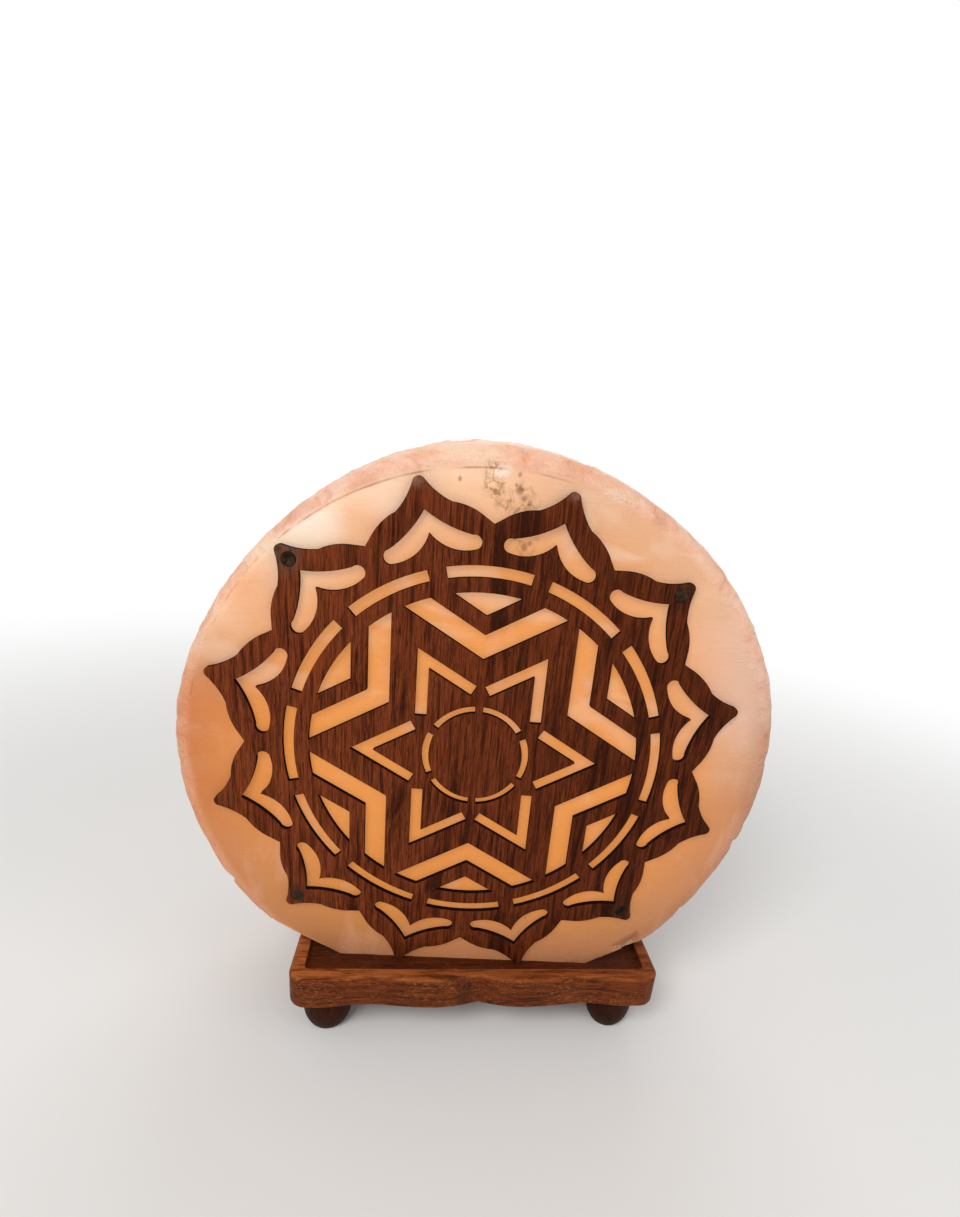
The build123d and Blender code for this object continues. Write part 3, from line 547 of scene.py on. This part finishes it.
def makeFootWood():
    material, tree, shader, place = newMaterial("foot wood", Specular_IOR_Level=0.08)
    wood = useGroup(tree, woodGrain, {"Place": place, **footLook})
    tree.links.new(wood["Color"], shader.inputs["Base Color"])
    tree.links.new(wood["Roughness"], shader.inputs["Roughness"])
    addBump(tree, shader, wood["Height"], 0.12)
    return material


handledLooks = {                      # clean and dull colour, marks, roughness, metallic, relief in mm
    "dark_screw": (seen(40, 27, 20), seen(92, 72, 56), 0.6, 0.5, 1.0, 0.06),
    "zinc_screw": (seen(205, 206, 206), seen(150, 148, 144), 0.6, 0.28, 1.0, 0.03),
    "plate_steel": (seen(200, 202, 204), seen(166, 166, 166), 0.5, 0.3, 1.0, 0.02),
    "spring_steel": (seen(176, 180, 186), seen(120, 122, 128), 0.5, 0.25, 1.0, 0.02),
    "zinc_tube": (seen(212, 206, 178), seen(158, 150, 122), 0.5, 0.3, 1.0, 0.03),
    "shell_brass": (seen(228, 196, 122), seen(170, 132, 70), 0.6, 0.28, 1.0, 0.02),
    "brass_screw": (seen(224, 190, 112), seen(160, 122, 62), 0.6, 0.3, 1.0, 0.02),
    "contact_brass": (seen(220, 186, 112), seen(162, 128, 70), 0.5, 0.3, 1.0, 0.02),
    "cap_metal": (seen(214, 212, 206), seen(160, 158, 152), 0.5, 0.24, 1.0, 0.02),
    "solder": (seen(176, 176, 174), seen(128, 128, 126), 0.6, 0.42, 1.0, 0.04),
    "lead_wire": (seen(200, 150, 116), seen(150, 108, 84), 0.5, 0.35, 1.0, 0.01),
    "filament": (seen(96, 96, 100), seen(70, 70, 74), 0.4, 0.4, 1.0, 0.01),
    "plug_plastic": (seen(196, 196, 192), seen(174, 172, 166), 0.4, 0.5, 0.0, 0.02),
    "holder_plastic": (seen(230, 227, 217), seen(208, 203, 190), 0.3, 0.34, 0.0, 0.01),
    "block_ceramic": (seen(236, 233, 225), seen(212, 207, 196), 0.35, 0.6, 0.0, 0.03),
    "cap_glass": (seen(22, 22, 26), seen(44, 44, 50), 0.4, 0.12, 0.0, 0.01),
}


def makeHandledFinish(slot):
    clean, dull, amount, shine, metallic, relief = handledLooks[slot]
    material, tree, shader, place = newMaterial(slot.replace("_", " "), Metallic=metallic)
    surface = useGroup(tree, handled, {
        "Place": place, "Clean": clean, "Dull": dull, "Amount": amount, "Shine": shine})
    tree.links.new(surface["Color"], shader.inputs["Base Color"])
    tree.links.new(surface["Roughness"], shader.inputs["Roughness"])
    addBump(tree, shader, surface["Height"], relief)
    return material


def makeClearGlass(name, colour, rough):
    material, tree, shader, place = newMaterial(name, Transmission_Weight=1.0, IOR=1.5)
    marks = useGroup(tree, handled, {
        "Place": place, "Clean": colour, "Dull": seen(226, 228, 226), "Amount": 0.3, "Shine": rough})
    tree.links.new(marks["Color"], shader.inputs["Base Color"])
    tree.links.new(marks["Roughness"], shader.inputs["Roughness"])
    return material


finishes = {slot: makeHandledFinish(slot) for slot in handledLooks}
finishes["rock_salt"] = makeRockSalt()
finishes["fret_wood"] = makeFretWood()
finishes["board_wood"] = makeBoardWood()
finishes["foot_wood"] = makeFootWood()
finishes["bulb_glass"] = makeClearGlass("bulb glass", seen(250, 252, 250), 0.0)
finishes["stem_glass"] = makeClearGlass("stem glass", seen(240, 245, 242), 0.04)
print("finishes made:", len(finishes))

for name, node in nodes.items():
    node.data.materials.clear()
    node.data.materials.append(finishes[slotOf[name]])


# the salt

saltShape = {                         # millimetres and degrees
    "radius": 104.7,                  # of the rim just behind the faces
    "waves": [                        # how the rim leaves a true circle: order, cosine, sine
        (2, -0.87, 0.92), (3, -0.22, 0.32), (4, 0.81, 0.47), (5, -0.26, 0.23)],
    "crown": 1.4,
    "edge": 5.2,                      # from the face's edge out to the rim
    "around": 720,
    "seed": 7,
    "chips": 70,
    "chipSize": (0.8, 2.6),
    "chipTilt": (0.5, 1.1),           # radians, from square to the face towards square to the rim
    "chipSkew": 0.3,
    "sectors": 72,                    # the rim is searched for a chip's neighbours in these
    "flakes": [                       # flakes seen on the front: x, z from the middle, size, depth
        (16.1, 102.0, 2.2, 0.9), (36.0, 96.4, 2.6, 0.8), (41.0, 93.6, 1.6, 0.6), (63.0, -71.0, 6.0, 0.9)],
    "corners": (30, 97.2),            # slope and reach of the two cuts beside the flat
}


def rimRadius(angle):
    radius = saltShape["radius"]
    for order, even, odd in saltShape["waves"]:
        radius += even * math.cos(order * angle) + odd * math.sin(order * angle)
    return radius


def layProfile(bm):
    # half the outline of the block, from the middle of the front to the middle of the rear;
    # a row is a radius, a depth and the number of cuts that lead to it
    half = lamp["halfThick"] / mm
    radius, edge, crown = saltShape["radius"], saltShape["edge"], saltShape["crown"]
    rows = [(0, -half, 0), (60, -half, 8), (88, -half, 8), (radius - edge, -half, 14)]
    for i in range(1, 17):            # the worn front corner
        angle = math.radians(90 * i / 16)
        rows.append((radius - edge + edge * math.sin(angle), -half + edge * (1 - math.cos(angle)), 1))
    for i in range(1, 31):            # the crowned rim
        share = i / 30
        y = -half + edge + share * 2 * (half - edge)
        rows.append((radius + crown * math.sin(math.pi * share), y, 1))
    for i in range(1, 11):            # the rear corner
        angle = math.radians(9 * i)
        rows.append((radius - edge * (1 - math.cos(angle)), half - edge * (1 - math.sin(angle)), 1))
    rows += [(90, half, 5), (60, half, 6), (0, half, 6)]
    last = bm.verts.new((0, -half * mm, 0))
    for (r0, y0, _), (r1, y1, cuts) in zip(rows, rows[1:]):
        for i in range(1, cuts + 1):
            share = i / cuts
            corner = bm.verts.new(((r0 + (r1 - r0) * share) * mm, (y0 + (y1 - y0) * share) * mm, 0))
            bm.edges.new((last, corner))
            last = corner


def shapeRim(vert):
    # from a true disc to the hand-cut one
    co = vert.co
    away = math.hypot(co.x, co.z)
    if away < 1e-6:
        return
    angle = math.atan2(co.z, co.x)
    share = (away / (saltShape["radius"] * mm)) ** 3
    front = rimRadius(angle)
    rear = saltShape["radius"] + 0.9 * math.cos(2 * angle + 1.1) + 0.6 * math.sin(5 * angle)
    back = co.y / (2 * lamp["halfThick"]) + 0.5
    wanted = (front * (1 - back) + rear * back) * mm
    grow = 1 + (wanted / (saltShape["radius"] * mm) - 1) * share
    co.x *= grow
    co.z *= grow


def roughen(vert):
    # the rim is broken and dissolved, the faces are sawn and only a little uneven
    co = vert.co
    away = math.hypot(co.x, co.z) / mm
    p = co / mm
    rim = min(1, max(0, (away - 97) / 5))
    wave = noise.fractal(p * 0.03, 1.0, 2.0, 3)
    pits = noise.fractal(p * 0.16 + Vector((5, 1, 9)), 0.9, 2.0, 4)
    grooves = abs(noise.noise(Vector((p.x * 0.05, p.y * 0.3, p.z * 0.05)))) * 0.5
    behind = min(1, max(0, (p.y + 30) / 14))
    inward = (wave * 0.3 + pits * (0.3 + 0.35 * behind) + grooves) * rim
    if away > 1:
        co -= Vector((co.x, 0, co.z)).normalized() * inward * mm
    face = (1 - rim) * min(1, max(0, (away - 55) / 30))
    dip = abs(noise.fractal(p * 0.05 + Vector((2, 7, 3)), 1.0, 2.0, 3)) * 0.3 * face
    co.y -= math.copysign(dip * mm, co.y)


def knockOff(verts, centre, normal, reach):
    # a flake is gone: what stands in front of the small plane is taken back to it
    for vert in verts:
        gap = (vert.co - centre).dot(normal)
        if gap > 0 and (vert.co - centre).length < reach:
            vert.co -= normal * (gap + noise.noise(vert.co / mm * 0.7) * 0.15 * mm)


def knockChips(bm):
    chance = random.Random(saltShape["seed"])
    half, edge = lamp["halfThick"], saltShape["edge"] * mm
    count, skewMost = saltShape["sectors"], saltShape["chipSkew"]
    sectors = [[] for _ in range(count)]

    def sectorAt(x, z):
        return int(math.degrees(math.atan2(z, x)) % 360 * count / 360) % count

    def around(sector):
        return sectors[sector - 1] + sectors[sector] + sectors[(sector + 1) % count]

    for vert in bm.verts:
        if math.hypot(vert.co.x, vert.co.z) > 90 * mm:
            sectors[sectorAt(vert.co.x, vert.co.z)].append(vert)
    for i in range(saltShape["chips"]):
        angle = chance.uniform(0, 2 * math.pi)
        side = -1 if i % 3 else 1
        size = chance.uniform(*saltShape["chipSize"]) * mm
        tilt = chance.uniform(*saltShape["chipTilt"])
        skew = chance.uniform(-skewMost, skewMost)
        outward = Vector((math.cos(angle), 0, math.sin(angle)))
        along = Vector((-math.sin(angle), 0, math.cos(angle)))
        normal = outward * math.sin(tilt) + Vector((0, side, 0)) * math.cos(tilt) + along * skew
        normal.normalize()
        centre = outward * (rimRadius(angle) * mm - edge) + Vector((0, side * (half - edge), 0))
        centre += normal * (edge - size * 0.12)
        knockOff(around(sectorAt(outward.x, outward.z)), centre, normal, size * 2.2)
    for x, z, size, depth in saltShape["flakes"]:
        outward = Vector((x, 0, z)).normalized()
        normal = (outward * 0.6 + Vector((0, -1, 0))).normalized()
        centre = Vector((x * mm, -half, z * mm)) - normal * depth * mm * 0.5
        knockOff(around(sectorAt(x, z)), centre, normal, size * mm)


def cutCorners(bm):
    slope, reach = saltShape["corners"]
    for side in (-1, 1):
        normal = Vector((side * math.sin(math.radians(slope)), 0, -math.cos(math.radians(slope))))
        for vert in bm.verts:
            gap = vert.co.dot(normal) - reach * mm
            if gap > 0:
                vert.co -= normal * (gap + (0.2 + noise.noise(vert.co / mm * 0.12) * 0.4) * mm)


def makeSaltBlock():
    bm = bmesh.new()
    layProfile(bm)
    bmesh.ops.spin(bm, geom=bm.verts[:] + bm.edges[:], cent=(0, 0, 0), axis=(0, 1, 0), dvec=(0, 0, 0),
                   angle=2 * math.pi, steps=saltShape["around"], use_merge=True, use_duplicate=False)
    bmesh.ops.remove_doubles(bm, verts=bm.verts, dist=0.02 * mm)
    bmesh.ops.recalc_face_normals(bm, faces=bm.faces)
    for vert in bm.verts:
        shapeRim(vert)
        roughen(vert)
    knockChips(bm)
    cutCorners(bm)
    bmesh.ops.transform(bm, matrix=Matrix.Translation((0, 0, lamp["saltMiddle"])), verts=bm.verts)
    flat = lamp["saltFlat"]
    cut = bmesh.ops.bisect_plane(bm, geom=bm.verts[:] + bm.edges[:] + bm.faces[:], dist=1e-7,
                                 plane_co=(0, 0, flat), plane_no=(0, 0, -1), clear_outer=True)
    loop = [e for e in cut["geom_cut"] if isinstance(e, bmesh.types.BMEdge)]
    bmesh.ops.contextual_create(bm, geom=loop)
    smoothUpTo(bm, 38)
    return bm


boreShape = {                         # millimetres, heights from the flat cut
    "below": 2,                       # how far the cutter starts below it
    "radius": 23,
    "depth": 105,
    "roundEnd": 8,
    "plugs": {"at": (-37, 37), "radius": 4, "length": 28, "middle": 12},            # at these x
    "pilots": {"at": (45, 135, 225, 315), "reach": 87, "radius": 1.1, "length": 14, "middle": 5},   # degrees
}


def addRod(bm, shape, segments, place):
    radius = shape["radius"] * mm
    bmesh.ops.create_cone(bm, cap_ends=True, segments=segments, radius1=radius, radius2=radius,
                          depth=shape["length"] * mm, matrix=place)


def makeBoreCutter():
    # the round-ended bore, two holes for the plugs and four for the panel's screws
    bm = bmesh.new()
    flat = lamp["saltFlat"]
    over, bore, depth, soft = (boreShape[key] * mm for key in ("below", "radius", "depth", "roundEnd"))
    chain = [(0, -over), (bore, -over), (bore, depth - soft)]
    for i in range(1, 7):
        angle = math.radians(15 * i)
        chain.append((bore - soft * (1 - math.cos(angle)), depth - soft * (1 - math.sin(angle))))
    chain.append((0, depth))
    verts = [bm.verts.new((r, 0, flat + z)) for r, z in chain]
    edges = [bm.edges.new(pair) for pair in zip(verts, verts[1:])]
    bmesh.ops.spin(bm, geom=verts + edges, cent=(0, 0, 0), axis=(0, 0, 1), dvec=(0, 0, 0),
                   angle=2 * math.pi, steps=96, use_merge=True, use_duplicate=False)
    plugs, pilots = boreShape["plugs"], boreShape["pilots"]
    for x in plugs["at"]:
        addRod(bm, plugs, 32, Matrix.Translation((x * mm, 0, flat + plugs["middle"] * mm)))
    for angle in pilots["at"]:
        x = lamp["patternX"] + pilots["reach"] * mm * math.cos(math.radians(angle))
        z = lamp["patternZ"] + pilots["reach"] * mm * math.sin(math.radians(angle))
        place = Matrix.Translation((x, -lamp["halfThick"] + pilots["middle"] * mm, z))
        addRod(bm, pilots, 20, place @ Matrix.Rotation(math.pi / 2, 4, "X"))
    bmesh.ops.remove_doubles(bm, verts=bm.verts, dist=0.001 * mm)
    bmesh.ops.recalc_face_normals(bm, faces=bm.faces)
    return bm


def cutAway(block, cutter):
    # boolean difference of two bmeshes, returned as a new one
    pair = []
    for name, bm in (("block", block), ("cutter", cutter)):
        mesh = bpy.data.meshes.new(name)
        bm.to_mesh(mesh)
        bm.free()
        piece = bpy.data.objects.new(name, mesh)
        bpy.context.scene.collection.objects.link(piece)
        pair.append(piece)
    modifier = pair[0].modifiers.new("bore", "BOOLEAN")
    modifier.operation = "DIFFERENCE"
    modifier.solver = "EXACT"
    modifier.object = pair[1]
    result = bmesh.new()
    result.from_object(pair[0], bpy.context.evaluated_depsgraph_get())
    for piece in pair:
        bpy.data.objects.remove(piece)
    return result


saltMesh = cutAway(makeSaltBlock(), makeBoreCutter())
bmesh.ops.transform(saltMesh, matrix=saltTwist, verts=saltMesh.verts)
saltBlock = newPiece("saltBlock", saltMesh, "salt_disc")
print("salt block:", len(saltBlock.data.polygons), "faces")


# the wood

def dressPart(name, node, width, sharperThan=40, segments=2, smooth=40):
    # a part's own shape with its sharp edges broken, widths in millimetres
    bm = fromCad(node)
    breakEdges(bm, width * mm, sharperThan, segments)
    smoothUpTo(bm, smooth)
    newPiece(name, bm, node)


dressPart("fretPanel", "mandala_panel", 0.15, 35, 2, 30)
dressPart("footedBoard", "base_board", 0.8, 30, 3)
for corner in ("front_left", "front_right", "rear_left", "rear_right"):
    name = "foot" + corner.replace("_", " ").title().replace(" ", "")
    dressPart(name, "foot_" + corner, 0.5, 40, 3)
print("wooden pieces made")


# the holder and the bulb

smallParts = [                        # piece, part, width of its broken edges in millimetres
    ("holderPlate", "holder_plate", 0.12),
    ("plateNut", "nipple_nut", 0.25),
    ("threadedTube", "nipple", 0.12),
    ("socketCup", "socket_cap", 0.35),
    ("socketSleeve", "socket_body", 0.3),
    ("terminalBlock", "terminal_block", 0.25),
    ("terminalScrews", "terminal_screws", 0.08),
    ("centreContact", "socket_contact", 0.06),
    ("springClipLeft", "spring_clip_left", 0.06),
    ("springClipRight", "spring_clip_right", 0.06),
    ("panelScrews", "panel_screws", 0.08),
    ("saltPlugs", "salt_plugs", 0.12),
]
for name, node, width in smallParts:
    dressPart(name, node, width)

threads = {                           # millimetres
    "pitch": 2.82,
    "height": 0.35,
    "around": 96,
    "row": 0.14,                      # spacing of the rows that carry the thread
    "runOut": 0.6,                    # turns over which it starts and ends
}
capShape = {                          # radius and height, from the cap's lower end
    "below": [(6.0, 0), (6.4, 0), (6.55, 0.15)],
    "root": 6.55,
    "start": 0.4,
    "turns": 5,
    "outwards": 1,                    # the thread stands out, -1 stands in
    "above": [                        # heights from the end of the thread
        (6.55, 1.2), (6.75, 1.5), (7.75, 2.8), (7.9, 3.1), (7.9, 5.1), (7.8, 5.2), (7.55, 5.2), (7.55, 3.2),
        (6.2, 1.6)],
    "inside": [(6.2, 0.35), (6.0, 0.35)],
}
shellShape = {
    "below": [(7.35, 0)],
    "root": 7.35,
    "start": 8.0,
    "turns": 6,
    "outwards": -1,
    "above": [(7.35, 0.5), (7.45, 0.6), (8.05, 0.6), (8.15, 0.5)],
    "inside": [(8.15, 0)],
}


def makeThreaded(name, node, shape):
    # a closed outline turned round the bulb's axis, with its root radius raised along a helix
    root, start, turns = shape["root"], shape["start"], shape["turns"]
    height, runOut = threads["height"] * shape["outwards"], threads["runOut"]
    end = start + turns * threads["pitch"]
    count = round((end - start) / threads["row"])
    rows = [(root, start + (end - start) * i / count) for i in range(count + 1)]
    outline = shape["below"] + rows + [(r, end + z) for r, z in shape["above"]] + shape["inside"]
    bm = bmesh.new()
    verts = [bm.verts.new((r * mm, 0, z * mm)) for r, z in outline]
    edges = [bm.edges.new(pair) for pair in zip(verts, verts[1:] + verts[:1])]
    bmesh.ops.spin(bm, geom=verts + edges, cent=(0, 0, 0), axis=(0, 0, 1), dvec=(0, 0, 0),
                   angle=2 * math.pi, steps=threads["around"], use_merge=True, use_duplicate=False)
    bmesh.ops.remove_doubles(bm, verts=bm.verts, dist=0.001 * mm)
    bmesh.ops.recalc_face_normals(bm, faces=bm.faces)
    for vert in bm.verts:
        x, y, z = vert.co / mm
        radius = math.hypot(x, y)
        turn = (z - start) / threads["pitch"]
        if abs(radius - root) < 0.01 and 0 < turn < turns:
            phase = turn - math.atan2(y, x) / (2 * math.pi)
            fade = min(1, turn / runOut, (turns - turn) / runOut)
            grow = height * fade * (0.5 - 0.5 * math.cos(2 * math.pi * phase))
            vert.co.x *= (radius + grow) / radius
            vert.co.y *= (radius + grow) / radius
    bmesh.ops.translate(bm, vec=(0, 0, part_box(node)[0].z), verts=bm.verts)
    smoothUpTo(bm, 50)
    newPiece(name, bm, node)


filamentShape = {                     # millimetres
    "wire": 0.07,
    "coil": 0.22,
    "turns": 24,
    "around": 12,
    "reach": 3.95,                    # half the coil's length
    "arch": 1.2,                      # how far its ends hang below its middle
    "below": 0.3,                     # its middle line, from the top of the part
}


def makeFilament():
    # a coil of tungsten wire, bent into a low arch between the leads
    shape = filamentShape
    reach = shape["reach"] * mm
    steps = shape["turns"] * shape["around"]
    bm = bmesh.new()
    place = Matrix.Translation((-reach, 0, shape["coil"] * mm)) @ Matrix.Rotation(math.pi / 2, 4, "X")
    ring = bmesh.ops.create_circle(bm, cap_ends=False, segments=8, radius=shape["wire"] * mm, matrix=place)
    edges = list({edge for vert in ring["verts"] for edge in vert.link_edges})
    bmesh.ops.spin(bm, geom=ring["verts"] + edges, cent=(0, 0, 0), axis=(1, 0, 0),
                   angle=2 * math.pi * shape["turns"], dvec=(2 * reach / steps, 0, 0), steps=steps,
                   use_merge=False, use_duplicate=False)
    bmesh.ops.holes_fill(bm, edges=[e for e in bm.edges if e.is_boundary], sides=8)
    bmesh.ops.recalc_face_normals(bm, faces=bm.faces)
    for vert in bm.verts:
        drop = shape["below"] + shape["arch"] * (vert.co.x / reach) ** 2
        vert.co.z += filamentTop - drop * mm
    smoothUpTo(bm, 60)
    newPiece("filamentCoil", bm, "bulb_filament")


makeThreaded("bulbCap", "bulb_cap", capShape)
makeThreaded("socketShell", "socket_shell", shellShape)
makeFilament()
print("holder and bulb made")


# floor, light and camera

studio = {
    "floor": (0.86, 0.855, 0.845, 1),
    "floorRadius": 6,
    "floorFades": (0.22, 0.75),       # metres from the middle, where the floor turns to plain white
    "worldLight": 0.42,
    "lamps": {                        # place, aim, size, power, colour
        "key": ((-0.5, -0.8, 0.95), (0, 0, 0.1), 0.6, 8.5, (1, 0.985, 0.96)),
        "fill": ((0.8, -0.6, 0.45), (0, 0, 0.1), 0.8, 2.0, (1, 1, 1)),
        "back": ((0.2, 0.9, 0.8), (0, 0, 0.12), 0.8, 3.0, (1, 1, 1)),
    },
}


def makeFloor():
    bm = bmesh.new()
    bmesh.ops.create_circle(bm, cap_ends=True, segments=64, radius=studio["floorRadius"])
    mesh = bpy.data.meshes.new("floor")
    bm.to_mesh(mesh)
    bm.free()
    floor = bpy.data.objects.new("floor", mesh)
    bpy.context.scene.collection.objects.link(floor)
    material = bpy.data.materials.new("pale floor")
    material.use_nodes = True
    tree = material.node_tree
    tree.nodes.clear()
    place = put(tree, "TexCoord").outputs["Object"]
    away = put(tree, "VectorMath", {0: place}, operation="LENGTH").outputs["Value"]
    direct = directRays(tree)
    far = calc(tree, "MULTIPLY", step(tree, away, *studio["floorFades"]), direct)
    matt = put(tree, "BsdfDiffuse", {"Color": studio["floor"]})
    white = put(tree, "Emission", {"Color": (1, 1, 1, 1), "Strength": 1.0})
    both = put(tree, "MixShader", {0: far, 1: matt.outputs[0], 2: white.outputs[0]})
    # clear from underneath, so that the lamp's underside can be looked at
    under = times(tree, put(tree, "NewGeometry").outputs["Backfacing"], direct)
    clear = put(tree, "BsdfTransparent")
    shown = put(tree, "MixShader", {0: under, 1: both.outputs[0], 2: clear.outputs[0]})
    put(tree, "OutputMaterial", {"Surface": shown.outputs[0]})
    mesh.materials.append(material)


def makeWorld():
    world = bpy.data.worlds.new("studio")
    bpy.context.scene.world = world
    world.use_nodes = True
    tree = world.node_tree
    tree.nodes.clear()
    soft = put(tree, "Background", {"Color": (1, 1, 1, 1), "Strength": studio["worldLight"]})
    white = put(tree, "Background", {"Color": (1, 1, 1, 1), "Strength": 1.0})
    both = put(tree, "MixShader", {0: directRays(tree), 1: soft.outputs[0], 2: white.outputs[0]})
    put(tree, "OutputWorld", {"Surface": both.outputs[0]})


def addLamp(name, place, aim, size, power, colour):
    light = bpy.data.lights.new(name, "AREA")
    light.shape = "DISK"
    light.size = size
    light.energy = power
    light.color = colour
    piece = bpy.data.objects.new(name, light)
    bpy.context.scene.collection.objects.link(piece)
    piece.location = place
    piece.rotation_euler = (Vector(aim) - Vector(place)).to_track_quat("-Z", "Y").to_euler()


view = {                              # found from the symmetry of the fretwork in the photograph
    "fromPattern": Vector((-6.65, -209.5, 95.47)) * mm,     # before the salt's twist
    "right": Vector((0.99304, -0.05860, 0.10213)),
    "down": Vector((0.07232, -0.38097, -0.92175)),
    "lens": 19.578,
    "shift": (-0.0326, 0.1015),
}


def makeCamera():
    data = bpy.data.cameras.new("camera")
    data.lens = view["lens"]
    data.sensor_width = 36
    data.sensor_fit = "AUTO"
    data.shift_x, data.shift_y = view["shift"]
    data.clip_start = 0.01
    data.clip_end = 50
    camera = bpy.data.objects.new("camera", data)
    bpy.context.scene.collection.objects.link(camera)
    pattern = Vector((lamp["patternX"], -lamp["halfThick"] - lamp["panelThick"], lamp["patternZ"]))
    ahead = view["right"].cross(view["down"])
    turned = Matrix((view["right"], -view["down"], -ahead)).transposed().to_4x4()
    place = Matrix.Translation(pattern + view["fromPattern"])
    camera.matrix_world = saltTwist @ place @ turned
    bpy.context.scene.camera = camera


makeFloor()
makeWorld()
for name, settings in studio["lamps"].items():
    addLamp(name, *settings)
makeCamera()
bpy.context.scene.view_settings.view_transform = "Standard"

print("lamp dressed")
